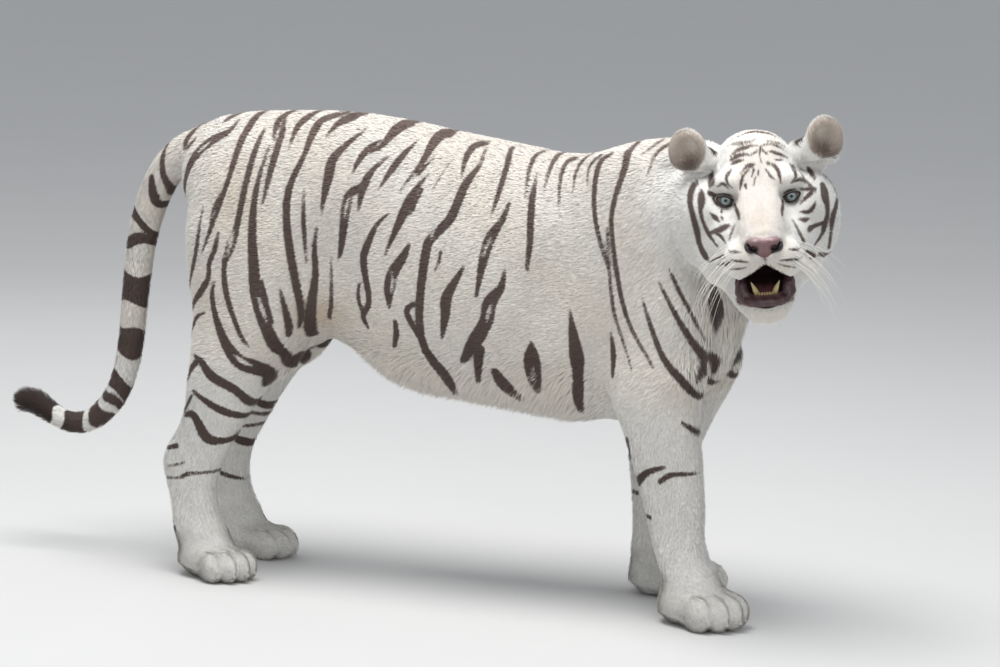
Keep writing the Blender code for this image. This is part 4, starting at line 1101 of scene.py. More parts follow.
# Coat: short thick fur in flat pointed tufts, each tucked into the skin and laid back along the
# body, longer on belly, chest and ruff and shortest on the face and feet.
FUR = {  # length, width and how far the tip stands off, in metres; tufts to a square metre
    "body": (0.0130, 0.0015, 0.0046, 155000), "belly": (0.036, 0.0022, 0.0165, 115000),
    "ruff": (0.030, 0.0017, 0.0140, 185000), "chest": (0.026, 0.0018, 0.0115, 140000),
    "legs": (0.0115, 0.0013, 0.0050, 170000), "paws": (0.0100, 0.0013, 0.0045, 240000),
    "face": (0.0075, 0.0009, 0.0029, 520000), "cheek": (0.0165, 0.0012, 0.0075, 330000),
    "ears": (0.0110, 0.0009, 0.0028, 340000), "tail": (0.0150, 0.0014, 0.0058, 210000),
}


def fur_shares(p):
    """For each place, how far it takes after each kind of fur; the kinds in FUR's order."""
    x, y, z = p.T
    q = to_head(p)
    head = ramp(head_region(p), -0.030, 0.020) * ramp((q**2).sum(-1), 0.34**2, 0.27**2)
    on_ear = ear_parts(q)[0]
    back_of_head = ramp(-q[:, 0], -0.005, 0.085)
    cheeks = np.clip(back_of_head + ramp(-q[:, 2], 0.150, 0.190) * ramp(q[:, 0], 0.09, 0.04), 0, 1)
    ruff = ramp(-q[:, 0], 0.055, 0.110) * ramp(q[:, 2], 0.075, 0.000)
    tail = ramp(x, -0.600, -0.640) * ramp(np.abs(y), 0.060, 0.045)
    low = ramp(z, 0.44, 0.34) * (1 - tail)
    between = ramp(x, -0.40, -0.30) * ramp(x, 0.32, 0.22)
    belly = between * ramp(z, 0.50, 0.42)
    legs = low * (1 - between)
    paws = ramp(z, 0.125, 0.075)
    chest = ramp(x, 0.42, 0.50) * ramp(z, 0.42, 0.50)
    out = {kind: np.zeros(len(p)) for kind in FUR}
    out["body"] += 1
    layers = {  # each takes its share from those before it
        "legs": legs, "belly": belly, "chest": chest, "tail": tail, "paws": paws, "face": head,
        "cheek": head * cheeks, "ruff": head * ruff, "ears": head * on_ear,
    }
    for kind, share in layers.items():
        for other in out:
            out[other] *= 1 - share
        out[kind] += share
    return np.stack([out[kind] for kind in FUR], -1)


FUR_TABLE = np.array([FUR[kind] for kind in FUR])


def unit(v):
    """Each row (along the last axis) brought to length 1."""
    return v / (np.linalg.norm(v, axis=-1)[..., None] + 1e-9)


def lie(p, n, shares):
    """Way the fur lies: back along the trunk, down the legs, out from the nose over the head."""
    x, y, z = p.T
    kinds = dict(zip(FUR, shares.T))
    q = to_head(p)
    way = np.tile((-1.0, 0.0, -0.30), (len(p), 1))
    way = blend(way, (-0.75, 0.25, -0.75), ramp(x, 0.22, 0.40))
    way = blend(way, (-0.10, 0.0, -1.0), np.clip(kinds["legs"] + kinds["chest"], 0, 1))
    way = blend(way, (-0.55, 0.0, -0.95), kinds["belly"])
    toes = np.tile((0.8, 0.0, -0.45), (len(p), 1))
    for spot, yaw, *_ in PAWS.values():
        near = (np.abs(x - spot[0] - 0.03) < 0.16) & (y * spot[1] > 0) & (z < 0.15)
        toes[near] = (np.cos(np.radians(yaw)), np.sin(np.radians(yaw)), -0.45)
    way = blend(way, toes, kinds["paws"])
    if kinds["tail"].max() > 0:
        arc = along_tail(p)[0]
        ends = [np.interp(arc + step, TAIL_ARC, TAIL_LINE[:, k]) for step in (0.01, -0.01) for k in range(3)]
        run = np.stack(ends[:3], -1) - np.stack(ends[3:], -1)
        way = blend(way, unit(run), kinds["tail"])
    head = kinds["face"] + kinds["cheek"] + kinds["ruff"] + kinds["ears"]
    out = unit(q - (0.185, 0.0, -0.070))
    out[:, 0] -= 0.30
    out[:, 2] -= 0.55 * ramp(-q[:, 0], 0.0, 0.09) * ramp(q[:, 2], 0.06, -0.02)
    for side in (-1, 1):
        e = q * (1, side, 1) - EARS[side] + (-0.004, 0.018, 0.034)
        out = blend(out, unit(e) * (1, side, 1), kinds["ears"] * (q[:, 1] * side > 0))
    way = unit(blend(way, out @ HEAD.T, head))
    return unit(way - n * (way * n).sum(-1)[:, None])


def round_about(v, u):
    """Angle of (u, v) round its axis, from 0 to 1."""
    return np.arctan2(v, u) / (2 * np.pi) + 0.5


def unwrap(p, piece):
    """Place of each root on a flat unwrap of its piece, both from 0 to 1: round its axis, and along it."""
    x, y, z = p.T
    if piece == "head":
        a, b, c = (to_head(p) - (-0.05, 0, -0.04)).T
        return np.stack([round_about(b, a), np.arctan2(c, np.hypot(a, b)) / np.pi + 0.5], -1)
    if piece == "legs":
        leg_number = 0.5 * (x > 0) + 0.25 * (y > 0)
        tables = (HIND_RIGHT, HIND_LEFT, FORE_RIGHT, FORE_LEFT)
        middle = np.stack([along(z, table, 1) / 2 + along(z, table, 2) / 2 for table in tables])
        which = (leg_number * 4).astype(int)
        centre_y = np.array([-0.125, 0.125, -0.132, 0.124])[which]
        turned = round_about(y - centre_y, x - middle[which, np.arange(len(x))])
        return np.stack([leg_number + 0.24 * turned, np.clip(z / 0.62, 0, 1)], -1)
    if piece == "tail":
        arc, off = along_tail(p)
        return np.stack([round_about(y, off), arc / TAIL_ARC[-1]], -1)
    turned = round_about(y, z - along(x, TRUNK, 1) / 2 - along(x, TRUNK, 2) / 2)
    return np.stack([turned, (x + 0.75) / 1.45], -1)


LUMP = 0.0060  # size of the lumps that fur falls into


def lumps(p, random):
    """A value from -1 to 1 shared by the fur of each small lump, the lumps' edges blurred."""
    cell = np.floor((p + random.uniform(-0.4, 0.4, p.shape) * LUMP) / LUMP) @ (12.9898, 78.233, 37.719)
    return 2 * ((np.sin(cell) * 43758.5453) % 1) - 1


PATCH = 0.0015  # half the size of a tuft's patch on the unwrap
BLADE = ((0.0, 0.42), (0.52, 0.5), (1.0, 0.0))  # rows of a tuft: how far along it, and half its width
# Painted shade along each tuft, darkest at its root where the tufts shade each other.
BLADE_ROOT_SHADE = np.array([0.86, 0.86, 0.97, 0.97, 1.02])  # at its five corners, darkest at the root
ROOT_DEPTH = 0.0012  # how far under the skin a tuft starts
TUFT_LEAST_Z = 0.0006  # the floor's side of the soles
LENGTHS, WIDTHS, RISES = (0.75, 1.2), (0.8, 1.2), (0.60, 1.05)  # chance shares of FUR's values
SPREAD, TWIST, LEAN = 0.09, 0.22, 0.09  # chance differences in a tuft's way, its twist and its shade
MARK_JITTER = 0.0006  # how far a tuft's idea of a stripe's edge is out, in metres


def tufts(name, roots, normals, random, shares):
    """A coat piece: each tuft a flat blade of a quad and a tip, rising from the skin and lying back."""
    length, width, rise, _ = (shares @ FUR_TABLE).T
    kinds = dict(zip(FUR, shares.T))
    lump, across = lumps(roots, random), lumps(roots + 3.0, random)
    length = length * random.uniform(*LENGTHS, len(roots))
    rise = rise * (1 + 1.3 * ramp(roots[:, 0], -0.87, -0.95))
    rise = rise * np.clip(random.uniform(*RISES, len(roots)) + 0.14 * lump, 0.3, 1.2)
    width = width * random.uniform(*WIDTHS, len(roots))
    way = lie(roots, normals, shares)
    side = np.cross(way, normals)
    way = unit(way + side * (random.normal(0, SPREAD, len(roots)) + 0.07 * across)[:, None])
    side = np.cross(way, normals)
    side = unit(side + normals * random.normal(0, TWIST, len(roots))[:, None])
    droop = np.zeros((len(roots), 3))
    droop[:, 2] = -0.5 * np.clip(length - 0.02, 0, None)
    places = []
    for t, wide in BLADE:
        up = (rise * (1 - (1 - t) ** 2) - ROOT_DEPTH * (1 - t))[:, None]
        middle = roots + way * (length * t)[:, None] + normals * up + droop * t * t
        edges = (-1, 1) if wide else (0,)
        places += [middle + side * (width * wide * edge)[:, None] for edge in edges]
    points = np.stack(places, 1).reshape(-1, 3)
    points[:, 2] = np.maximum(points[:, 2], TUFT_LEAST_Z)
    start = 5 * np.arange(len(roots))[:, None]
    quads, tips = start + np.array([0, 1, 3, 2]), start + np.array([2, 3, 4])
    uneven = 0.14 + 0.14 * kinds["paws"] + 0.05 * kinds["legs"]
    shade = 1.05 - random.random(len(roots)) * uneven + 0.02 * lump
    colours = ground(roots)
    colours[:, :3] *= shade[:, None]
    colours = np.repeat(colours, 5, 0)
    # Painted shade: each tuft darker towards its root.
    colours[:, :3] *= np.tile(BLADE_ROOT_SHADE, len(roots))[:, None]
    rows = [(points[0::5] + points[1::5]) / 2, (points[2::5] + points[3::5]) / 2, points[4::5]]
    marks = np.stack([marking(row) for row in rows], 1)
    marks = (marks + random.normal(0, MARK_JITTER, len(roots))[:, None])[:, [0, 0, 1, 1, 2]].ravel()
    ups = unit(normals + side * (0.12 * across + random.normal(0, LEAN, len(roots)))[:, None]
               - way * (0.05 + 0.08 * lump)[:, None])
    ups = np.repeat(ups, 5, 0)
    coat = mesh_object(name, points, quads, tips, {"marking": marks, "ground": colours}, ups)
    spread = np.array([(-PATCH, -PATCH), (PATCH, -PATCH), (-PATCH, 0), (PATCH, 0), (0, PATCH)])
    flat = PATCH + unwrap(roots, name.split("_")[1])[:, None] * (1 - 2 * PATCH) + spread
    corners = np.concatenate([quads.ravel(), tips.ravel()])
    layer = coat.data.uv_layers.new(name="OFBake")
    layer.uv.foreach_set("vector", flat.reshape(-1, 2)[corners].astype(np.float32).ravel())
    coat.data.materials.append(coat_material)
    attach(coat, "root")


def sample(points, normals, faces, random):
    """Roots spread over faces, as many as the fur there asks for, with their normals."""
    a, b, c, d = (points[faces[:, k]] for k in range(4))
    area = np.linalg.norm(np.cross(c - a, d - b), axis=1) / 2
    density = fur_shares((a + b + c + d) / 4) @ FUR_TABLE[:, 3]
    count = np.floor(area * density + random.random(len(area))).astype(int)
    chosen = faces[np.repeat(np.arange(len(faces)), count)]
    s, t = random.random((2, len(chosen), 1))
    shares = ((1 - s) * (1 - t), s * (1 - t), s * t, (1 - s) * t)
    roots, ups = (sum(share * v[chosen[:, k]] for k, share in enumerate(shares)) for v in (points, normals))
    return roots, unit(ups)


def bare(p):
    """Places with no fur: mouth, nose, inside the eyelids, and the soles."""
    q = to_head(p)
    m = folded(q)
    inside, lip = mouth_lining(q)
    eye = (((m[:, 1:] - (0.0605, -0.0015)) / (0.0185, 0.0105)) ** 2).sum(-1) < 1
    eye &= q[:, 0] > -0.03
    nose = (((m - (0.126, 0, -0.066)) / (0.020, 0.033, 0.0165)) ** 2).sum(-1) < 1
    on_head = (inside > 0.4) | ((lip > 0.4) & (q[:, 2] > -0.174)) | eye | nose
    return (on_head & ((q**2).sum(-1) < 0.05)) | (p[:, 2] < 0.004)


coat_material = fur_material("coat_fur", 0.0)
random = np.random.default_rng(11)
every_face = np.concatenate([skin_quads, skin_sewing[:, [0, 1, 2, 2]]])
roots, root_normals = sample(skin_points, skin_normals, every_face, random)
furred = ~bare(roots)
roots, root_normals = roots[furred], root_normals[furred]
root_shares = fur_shares(roots)
kinds = dict(zip(FUR, root_shares.T))
on_head = kinds["face"] + kinds["cheek"] + kinds["ruff"] + kinds["ears"] > 0.5
on_tail = ~on_head & (kinds["tail"] > 0.5)
on_leg = ~on_head & ~on_tail & (kinds["legs"] + kinds["paws"] > 0.5)
rest = ~(on_head | on_tail | on_leg)
FACE_FROM, NECK_FROM, RUMP_TO = -0.055, 0.27, -0.33  # where the pieces meet; the first is on the head
on_face = to_head(roots)[:, 0] > FACE_FROM
ahead, right = roots[:, 0], roots[:, 1] < 0
trunk_coat, rump_coat = rest & (ahead >= RUMP_TO) & (ahead <= NECK_FROM), rest & (ahead < RUMP_TO)
GROUPS = {
    "coat_head_face": on_head & on_face, "coat_head_ruff": on_head & ~on_face, "coat_tail": on_tail,
    "coat_legs_fore": on_leg & (ahead > 0), "coat_legs_hind": on_leg & (ahead <= 0),
    "coat_neck": rest & (ahead > NECK_FROM),
    "coat_trunk_right": trunk_coat & right, "coat_trunk_left": trunk_coat & ~right,
    "coat_rump_right": rump_coat & right, "coat_rump_left": rump_coat & ~right,
}
for name, group in GROUPS.items():
    tufts(name, roots[group], root_normals[group], random, root_shares[group])


# Eyes: two glass balls with a clear bulging front over a pale blue-grey iris and a small pupil.
# Each is turned in rings about its gaze and coloured by the angle from it.
EYE_RADIUS, IRIS, PUPIL = 0.0165, 37.0, 10.5  # metres, and degrees off the eye's axis
GAZE = np.array([1.0, 0.0, 0.10])
BULGE = 0.05  # how much further the clear front stands, as a share of the radius
IRIS_PALE, IRIS_DEEP, IRIS_RIM = (0.25, 0.305, 0.290), (0.13, 0.165, 0.160), (0.025, 0.027, 0.030)
EYE_CORNER, PUPIL_BLACK = (0.12, 0.085, 0.078), (0.004, 0.004, 0.005)


def tinted(name, roughness, specular=0.4, fineness=500.0, depth=0.0, **fixed):
    """A material coloured by its piece's own tint, speckled, with a fine relief of a depth in metres."""
    material, place, link = new_material(name, roughness, specular, **fixed)
    speckle = place.noise(fineness * 0.4) * 0.24 + 0.88
    link(Base_Color=attribute(place, "tint").shade(speckle))
    if depth:
        link(Normal=place.noise(fineness, 2.0).relief(0.6, depth))
    return material


def painted(points, base, *layers):
    """One colour (or a row for each point), with other colours laid over it by their shares."""
    colour = np.zeros((len(points), 3)) + base
    for other, share in layers:
        colour = blend(colour, other, share)
    return colour


def piece(name, points, quads, triangles, tint, material, slot):
    """A piece coloured point by point that belongs to the body; its slot is not used."""
    tint = np.column_stack([tint, np.ones(len(tint))])  # a colour field has a fourth value
    made = mesh_object(name, points, quads, triangles, {"tint": tint})
    made.data.materials.append(material)
    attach(made, "root")
    return made


def grid_quads(rows, columns):
    """Quads between the rows of a grid whose columns run right round."""
    here = np.arange(rows - 1)[:, None] * columns + np.arange(columns)
    after = np.roll(here, -1, 1)
    return np.stack([here, after, after + columns, here + columns], -1).reshape(-1, 4)


def end_fans(rows, columns):
    """Triangles that close such a grid, from its first and last rows to the two points that follow it."""
    here = np.arange(columns)
    after, last, pole = np.roll(here, -1), (rows - 1) * columns, np.full(columns, rows * columns)
    return np.concatenate([np.stack([pole, after, here], -1),
                           np.stack([pole + 1, last + here, last + after], -1)])


def angles(count):
    """Evenly spaced angles right round."""
    return np.arange(count) * 2 * np.pi / count


def eyeball(side, rows=61, columns=48):
    """Rings round the eye's axis from front pole to back; the front bulges by 1 mm within the iris."""
    off = np.radians(np.linspace(0, 180, rows)[1:-1])[:, None]
    about = angles(columns)
    radius = EYE_RADIUS * (1 + BULGE * np.exp(-((off / np.radians(31)) ** 4)))
    rings = np.stack([np.cos(off) + 0 * about, np.sin(off) * np.cos(about), np.sin(off) * np.sin(about)], -1)
    rings = (rings * radius[..., None]).reshape(-1, 3)
    poles = np.array([(EYE_RADIUS * (1 + BULGE), 0, 0), (-EYE_RADIUS, 0, 0)])
    ahead = GAZE / np.linalg.norm(GAZE)
    across = unit(np.cross((0, 0, 1), ahead))
    points = np.concatenate([rings, poles]) @ np.stack([ahead, across, np.cross(ahead, across)])
    degrees = np.degrees(np.append(np.repeat(off[:, 0], columns), [0, np.pi]))
    streak = 1 + 0.16 * np.sin(23 * np.append(np.tile(about, rows - 2), [0, 0])) * (degrees < IRIS)
    iris = painted(points, IRIS_PALE, (IRIS_DEEP, ramp(degrees, 20, 30))) * streak[:, None]
    tint = painted(points, iris, (IRIS_RIM, ramp(degrees, IRIS - 5, IRIS - 1.5)),
                   (EYE_CORNER, ramp(degrees, IRIS + 1, IRIS + 6)),
                   (PUPIL_BLACK, ramp(degrees, PUPIL + 1.5, PUPIL - 1)))
    quads, fans = grid_quads(rows - 2, columns)[:, ::-1], end_fans(rows - 2, columns)[:, ::-1]
    return points + EYE_CENTRE * (1, side, 1), quads, fans, tint


eye_glass = tinted("eye_glass", 0.35, 0.25, Coat_Weight=0.5, Coat_Roughness=0.02)
for side, word in ((1, "left"), (-1, "right")):
    points, quads, triangles, tint = eyeball(side)
    eye = piece(f"eyeball_{word}", from_head(points), quads, triangles, tint, eye_glass, "eye")
    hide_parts(f"eye_{word}")


# Eyelids: a dark bare rim resting on the eye, rising to a rounded edge and run into the furred skin.
# Each is laid in rings round an almond opening, from the eye's surface out to the skin's.
LID_CENTRE, LID_HALF, LID_SLANT = (0.0610, -0.0020), (0.0165, 0.0076), 18.0
LID_PINCH = 1.25  # how pointed the opening's corners are
LID_BLACK = (0.030, 0.018, 0.018)
LID_ROWS = (  # outwards from the opening, forward of the eye, share of the skin's own height, darkness
    (-0.0006, 0.0003, 0.0, 1.0), (0.0004, 0.0012, 0.0, 1.0), (0.0014, 0.0019, 0.0, 1.0),
    (0.0025, 0.0020, 0.08, 0.85), (0.0038, 0.0016, 0.35, 0.20), (0.0062, 0.0008, 0.75, 0.0),
    (0.0088, 0.0, 1.0, 0.0), (0.0112, 0.0, 1.0, 0.0),
)
HALVINGS = 14  # of 0.21 m, so to 13 micrometres


def skin_front(y, z):
    """How far forward the skin lies in the head's frame, found by halving along x."""
    back, front = np.full(len(y), -0.05), np.full(len(y), 0.16)
    for _ in range(HALVINGS):
        middle = (back + front) / 2
        inside = skin_field(from_head(np.stack([middle, y, z], -1))) < 0
        back, front = np.where(inside, middle, back), np.where(inside, front, middle)
    return back


def eyelid(side, columns=72):
    """Rings round an almond opening; each ring's height runs from the eye's to the skin's."""
    t = angles(columns)
    tip = np.radians(LID_SLANT)
    rows, darkness = [], []
    for out, lift, share, dark in LID_ROWS:
        long = (LID_HALF[0] + out) * np.cos(t)
        high = (LID_HALF[1] + out) * np.sign(np.sin(t)) * np.abs(np.sin(t)) ** LID_PINCH
        y = LID_CENTRE[0] + long * np.cos(tip) - high * np.sin(tip)
        z = LID_CENTRE[1] + long * np.sin(tip) + high * np.cos(tip)
        off = np.hypot(y - EYE_CENTRE[1], z - EYE_CENTRE[2])
        on_eye = EYE_CENTRE[0] + np.sqrt(np.clip((EYE_RADIUS * 1.01) ** 2 - off**2, 2e-5, None)) + lift
        on_skin = skin_front(y * side, z) - 0.0008 - 0.9 * max(out - 0.0088, 0)
        x = on_eye + (on_skin - on_eye) * share
        rows.append(np.stack([x, y * side, z], -1))
        darkness.append(np.full(columns, dark))
    return np.concatenate(rows), grid_quads(len(LID_ROWS), columns)[:, ::-side], np.concatenate(darkness)


lid_material = fur_material("lid_skin", 0.0004)
lid_random = np.random.default_rng(23)
for side, word in ((1, "left"), (-1, "right")):
    points, quads, dark = eyelid(side)
    points = from_head(points)
    _, ups = slope_at(skin_field, points)
    fields = ground(points)
    fields[:, :3] = blend(fields[:, :3], LID_BLACK, dark)
    marks = np.where(dark > 0.2, CLEAR, marking(points))
    outer = quads[len(quads) * 3 // (len(LID_ROWS) - 1):]  # without the three bands nearest the eye
    lid_roots, lid_ups = sample(points, unit(ups), outer, lid_random)
    tufts(f"coat_head_eyelids_{word}", lid_roots, lid_ups, lid_random, fur_shares(lid_roots))
    lid = mesh_object(f"eyelids_{word}", points, quads, None, {"marking": marks, "ground": fields})
    lid.data.materials.append(lid_material)
    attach(lid, "root")


# Nose pad: bare leathery skin, pinkish mauve, with deep nostrils that sweep up at their outer ends;
# their insides and slits are painted near black, painted shade in the holes.
# It is built up of rounded masses, with the nostrils, their slits and the middle groove cut in.
NOSE = [  # centre, radii, ease; mirrored to both sides
    ((0.115, 0.0, -0.0570), (0.0205, 0.0335, 0.0130), 0.01),
    ((0.118, 0.0, -0.0700), (0.0165, 0.0190, 0.0155), 0.008),
    ((0.121, 0.0150, -0.0545), (0.0165, 0.0120, 0.0085), 0.004),
    ((0.1130, 0.0200, -0.0660), (0.0185, 0.0160, 0.0125), 0.006),
]
NOSTRIL = ((0.1345, 0.0190, -0.0665), (0.0135, 0.0088, 0.0066))
# Round the nostrils the pad is painted near black: painted shade in the holes.
NOSTRIL_SHADE_BALL = ((0.1345, 0.0220, -0.0685), (0.0216, 0.01012, 0.00693))  # round which it is black
SLIT = ((0.1280, 0.0305, -0.0580), (0.0120, 0.0095, 0.0026), turn(0, 0, 50))
GROOVE = ((0.1385, 0, -0.080), (0.006, 0.0013, 0.018))
NOSE_BACK, NOSE_CUT_EASE = 0.100, 0.003
NOSE_GRID = (0.095, -0.040, -0.092), (0.142, 0.040, -0.040)
NOSE_CELL = 0.0014
NOSE_MAUVE, NOSE_TOP, NOSE_FOOT = (0.205, 0.112, 0.116), (0.31, 0.20, 0.20), (0.15, 0.065, 0.070)
# Near black inside the nostrils: painted shade.
NOSTRIL_SHADE = (0.012, 0.006, 0.007)
NOSE_DROP = np.array([0, 0, 0.0045])  # how much lower the pad sits than drawn


def nose_field(q):
    """Rounded masses run together, less the nostrils, their slits and the groove between them."""
    m = folded(q)
    d = np.full(len(q), FAR)
    for centre, radii, ease in NOSE:
        d = join(d, ball(m, centre, radii), ease)
    for hollow in (NOSTRIL, SLIT, GROOVE):
        d = carve(d, ball(m, *hollow), NOSE_CUT_EASE)
    return np.maximum(d, NOSE_BACK - q[:, 0])


def field_mesh(field, lower, upper, cell):
    """Closed quad mesh of a field's surface, with its normals."""
    points, quads = quads_of(*read_grid(field, lower, upper, cell))
    points, normals = settle(field, points, 2)
    return points, quads, normals


points, quads, _ = field_mesh(nose_field, *NOSE_GRID, NOSE_CELL)
m = folded(points)
# Painted shade: near black in the nostrils and along their outward slits.
nostril_shade_share = ramp(ball(m, *NOSTRIL_SHADE_BALL), 0.0006, -0.0012)
nostril_shade_share = np.maximum(nostril_shade_share, ramp(ball(m, *SLIT), 0.001, -0.001))
slit_shade_share = ramp(m[:, 1] * 0.75 - m[:, 2], 0.0800, 0.0830) * ramp(m[:, 1], 0.010, 0.013)
tint = painted(points, NOSE_MAUVE, (NOSE_TOP, ramp(points[:, 2], -0.056, -0.047)),
               (NOSE_FOOT, ramp(points[:, 2], -0.070, -0.082)), (NOSTRIL_SHADE, np.maximum(nostril_shade_share, slit_shade_share)))
nose_skin = tinted("nose_skin", 0.36, 0.5, 650.0, 0.0005)
nose_pad = piece("nose_pad", from_head(points - NOSE_DROP), quads, None, tint, nose_skin, "nose_leather")
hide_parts("nose")


# Lips of the lower jaw: wet dark folds of bare skin, an outer and an inner one run together. Both
# follow the jaw round from the chin to the corners, thinning and rippled on the way. Paler bands
# along them are painted sheen, and their upward faces are painted lighter as painted light from above.
LIP_OUTER = np.array([  # from the middle of the chin round to the corner: x, y, z, radius
    (0.0930, 0.000, -0.1790, 0.0085), (0.0920, 0.015, -0.1790, 0.0085), (0.0880, 0.030, -0.1780, 0.0080),
    (0.0810, 0.0415, -0.1740, 0.0068), (0.0735, 0.0480, -0.1640, 0.0058), (0.0680, 0.0500, -0.1520, 0.0052),
    (0.0630, 0.0490, -0.1400, 0.0046), (0.0570, 0.0450, -0.1290, 0.0034),
])
LIP_INNER = np.array([
    (0.0860, 0.000, -0.1710, 0.0050), (0.0850, 0.013, -0.1715, 0.0050), (0.0815, 0.025, -0.1700, 0.0050),
    (0.0760, 0.0340, -0.1640, 0.0048), (0.0700, 0.0385, -0.1530, 0.0046), (0.0650, 0.0400, -0.1420, 0.0042),
    (0.0590, 0.0385, -0.1310, 0.0034),
])
LIP_CORNER = ((0.072, 0.044, -0.160), (0.010, 0.010, 0.020))
LIP_GRID = (0.040, -0.062, -0.196), (0.110, 0.062, -0.115)
LIP_CELL, LIP_EASE, CORNER_EASE = 0.0020, 0.010, 0.008
# Of these colours, the second is painted sheen in bands over the lips, and the third painted light on the
# faces turned upward.
LIP_DARK, LIP_PAINTED_SHEEN, LIP_TOP_LIGHT = (0.052, 0.024, 0.027), (0.105, 0.052, 0.055), (0.23, 0.125, 0.13)


def lips_field(q):
    """Two chains of cones, mirrored, run together, and rippled along their length."""
    m = folded(q)
    outer, inner = (tube(m, smooth_rows(fold, 3)) for fold in (LIP_OUTER, LIP_INNER))
    d = join(join(outer, inner, LIP_EASE), ball(m, *LIP_CORNER), CORNER_EASE)
    ripple = np.sin(430 * m[:, 1] + 330 * m[:, 2] + 3 * np.sin(190 * q[:, 1]))
    return d + 0.0008 * ripple * ramp(m[:, 1], 0.012, 0.034)


points, quads, lips_normals = field_mesh(lips_field, *LIP_GRID, LIP_CELL)
# Painted sheen in bands, and painted light on the faces turned upward.
painted_sheen = 0.5 + 0.5 * np.sin(330 * points[:, 1] + 150 * points[:, 2])
lit_from_above = ramp(lips_normals[:, 2], 0.75, 0.97)
tint = painted(points, LIP_DARK, (LIP_PAINTED_SHEEN, 0.6 * painted_sheen), (LIP_TOP_LIGHT, 0.6 * lit_from_above))
lip_skin = tinted("lip_skin", 0.34, 0.45, 420.0, 0.0006, Coat_Weight=0.15, Coat_Roughness=0.25)
piece("lower_lips", from_head(points), quads, None, tint, lip_skin, "mouth")


# Tongue: a flat dark pink tongue lying deep between the lower teeth, with a shallow groove along
# its middle and the fine grain of a cat's tongue. Its back darkens to near black, painted shade
# deep in the mouth.
TONGUE = ((0.030, 0, -0.166), (0.050, 0.024, 0.013))  # centre, radii
TONGUE_GROOVE = ((0.040, 0, -0.151), (0.050, 0.004, 0.004))
TONGUE_GRID = (-0.024, -0.028, -0.182), (0.084, 0.028, -0.148)
TONGUE_CELL, TONGUE_EASE = 0.0024, 0.006
# The root's colour is near black: painted shade deep in the mouth.
TONGUE_ROOT_SHADE, TONGUE_TIP = (0.030, 0.010, 0.012), (0.17, 0.062, 0.066)


def tongue_field(q):
    """A flattened ball less the groove."""
    return carve(ball(q, *TONGUE), ball(q, *TONGUE_GROOVE), TONGUE_EASE)


points, quads, _ = field_mesh(tongue_field, *TONGUE_GRID, TONGUE_CELL)
# Painted shade: the tongue darkens towards its back, deep in the mouth.
tint = painted(points, TONGUE_ROOT_SHADE, (TONGUE_TIP, ramp(points[:, 0], 0.0, 0.06)))
tongue_skin = tinted("tongue_skin", 0.42, 0.5, 900.0, 0.0004)
tongue = piece("tongue_flesh", from_head(points), quads, None, tint, tongue_skin, "mouth")
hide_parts("tongue")


# Teeth: the lower canines and six incisors, old ivory, set just behind the lower lip. Each is a
# round tube along its own line that closes at the tip.
CANINE = np.array([  # from its root: x, y, z, radius
    (0.070, 0.0125, -0.182, 0.0062), (0.076, 0.0150, -0.170, 0.0062),
    (0.0815, 0.0200, -0.155, 0.0046), (0.0850, 0.0265, -0.1405, 0.0006),
])
INCISORS, INCISOR_STEP, INCISOR_RADIUS = 6, 0.0046, 0.0023
INCISOR_ROOT, INCISOR_TOP = -0.176, -0.1605  # heights
IVORY, IVORY_ROOT = (0.50, 0.40, 0.20), (0.30, 0.20, 0.07)


def repeated(count, rows, columns):
    """Quads and triangles of many closed grids of one size, whose points follow each other."""
    starts = np.arange(count)[:, None, None] * (rows * columns + 2)
    quads, fans = grid_quads(rows, columns), end_fans(rows, columns)
    return (starts + quads).reshape(-1, 4), (starts + fans).reshape(-1, 3)


def tubes(lines, radii, sides):
    """Round tubes along many lines at once, closed by a point at each end."""
    count, rows = radii.shape
    run = unit(np.gradient(lines, axis=1))
    across = unit(np.cross(run, (0.31, 0.52, 0.79)))  # a way that no line runs in
    over = np.cross(run, across)
    turned = angles(sides)[:, None]
    ring = np.cos(turned) * across[:, :, None] + np.sin(turned) * over[:, :, None]
    points = lines[:, :, None] + radii[..., None, None] * ring
    points = np.concatenate([points.reshape(count, -1, 3), lines[:, [0, -1]]], 1)
    return points.reshape(-1, 3), *repeated(count, rows, sides)


def teeth():
    """Curved cones: the canines lean outwards, the incisors stand in a shallow arc."""
    table = smooth_rows(CANINE, 4)
    lines = [table[:, :3] * (1, side, 1) for side in (-1, 1)]
    radii = [table[:, 3], table[:, 3]]
    rise = np.linspace(0, 1, len(table))
    z = INCISOR_ROOT + (INCISOR_TOP - INCISOR_ROOT) * rise
    for k in range(INCISORS):
        y = (k - (INCISORS - 1) / 2) * INCISOR_STEP
        lines.append(np.stack([0.0845 - 14 * y * y + 0.003 * rise, np.full(len(rise), y), z], -1))
        radii.append(INCISOR_RADIUS * np.sqrt(np.clip(1 - rise**6, 0.01, 1)))
    return np.stack(lines), np.stack(radii)


points, quads, triangles = tubes(*teeth(), sides=12)
tint = painted(points, IVORY, (IVORY_ROOT, ramp(points[:, 2], -0.155, -0.172)))
piece("lower_teeth", from_head(points), quads, triangles, tint, tinted("tooth", 0.28, 0.5), "mouth")


# Whiskers: long stiff white hairs in rows on the muzzle, and a few short ones on the chin. Each is
# a thin tube rooted in the skin, bent down by its own weight.
WHISKER_ROWS, WHISKERS_IN_ROW, CHIN_WHISKERS = 4, 6, 14
WHISKER_RADIUS, CHIN_WHISKER_RADIUS = 0.00056, 0.0004
WHISKER_LENGTHS, CHIN_WHISKER_LENGTHS = (0.080, 0.128), (0.022, 0.045)
LEFT_LONGER = 1.06  # how much longer those of the left side are
WHISKER_WHITE = (0.84, 0.80, 0.72)


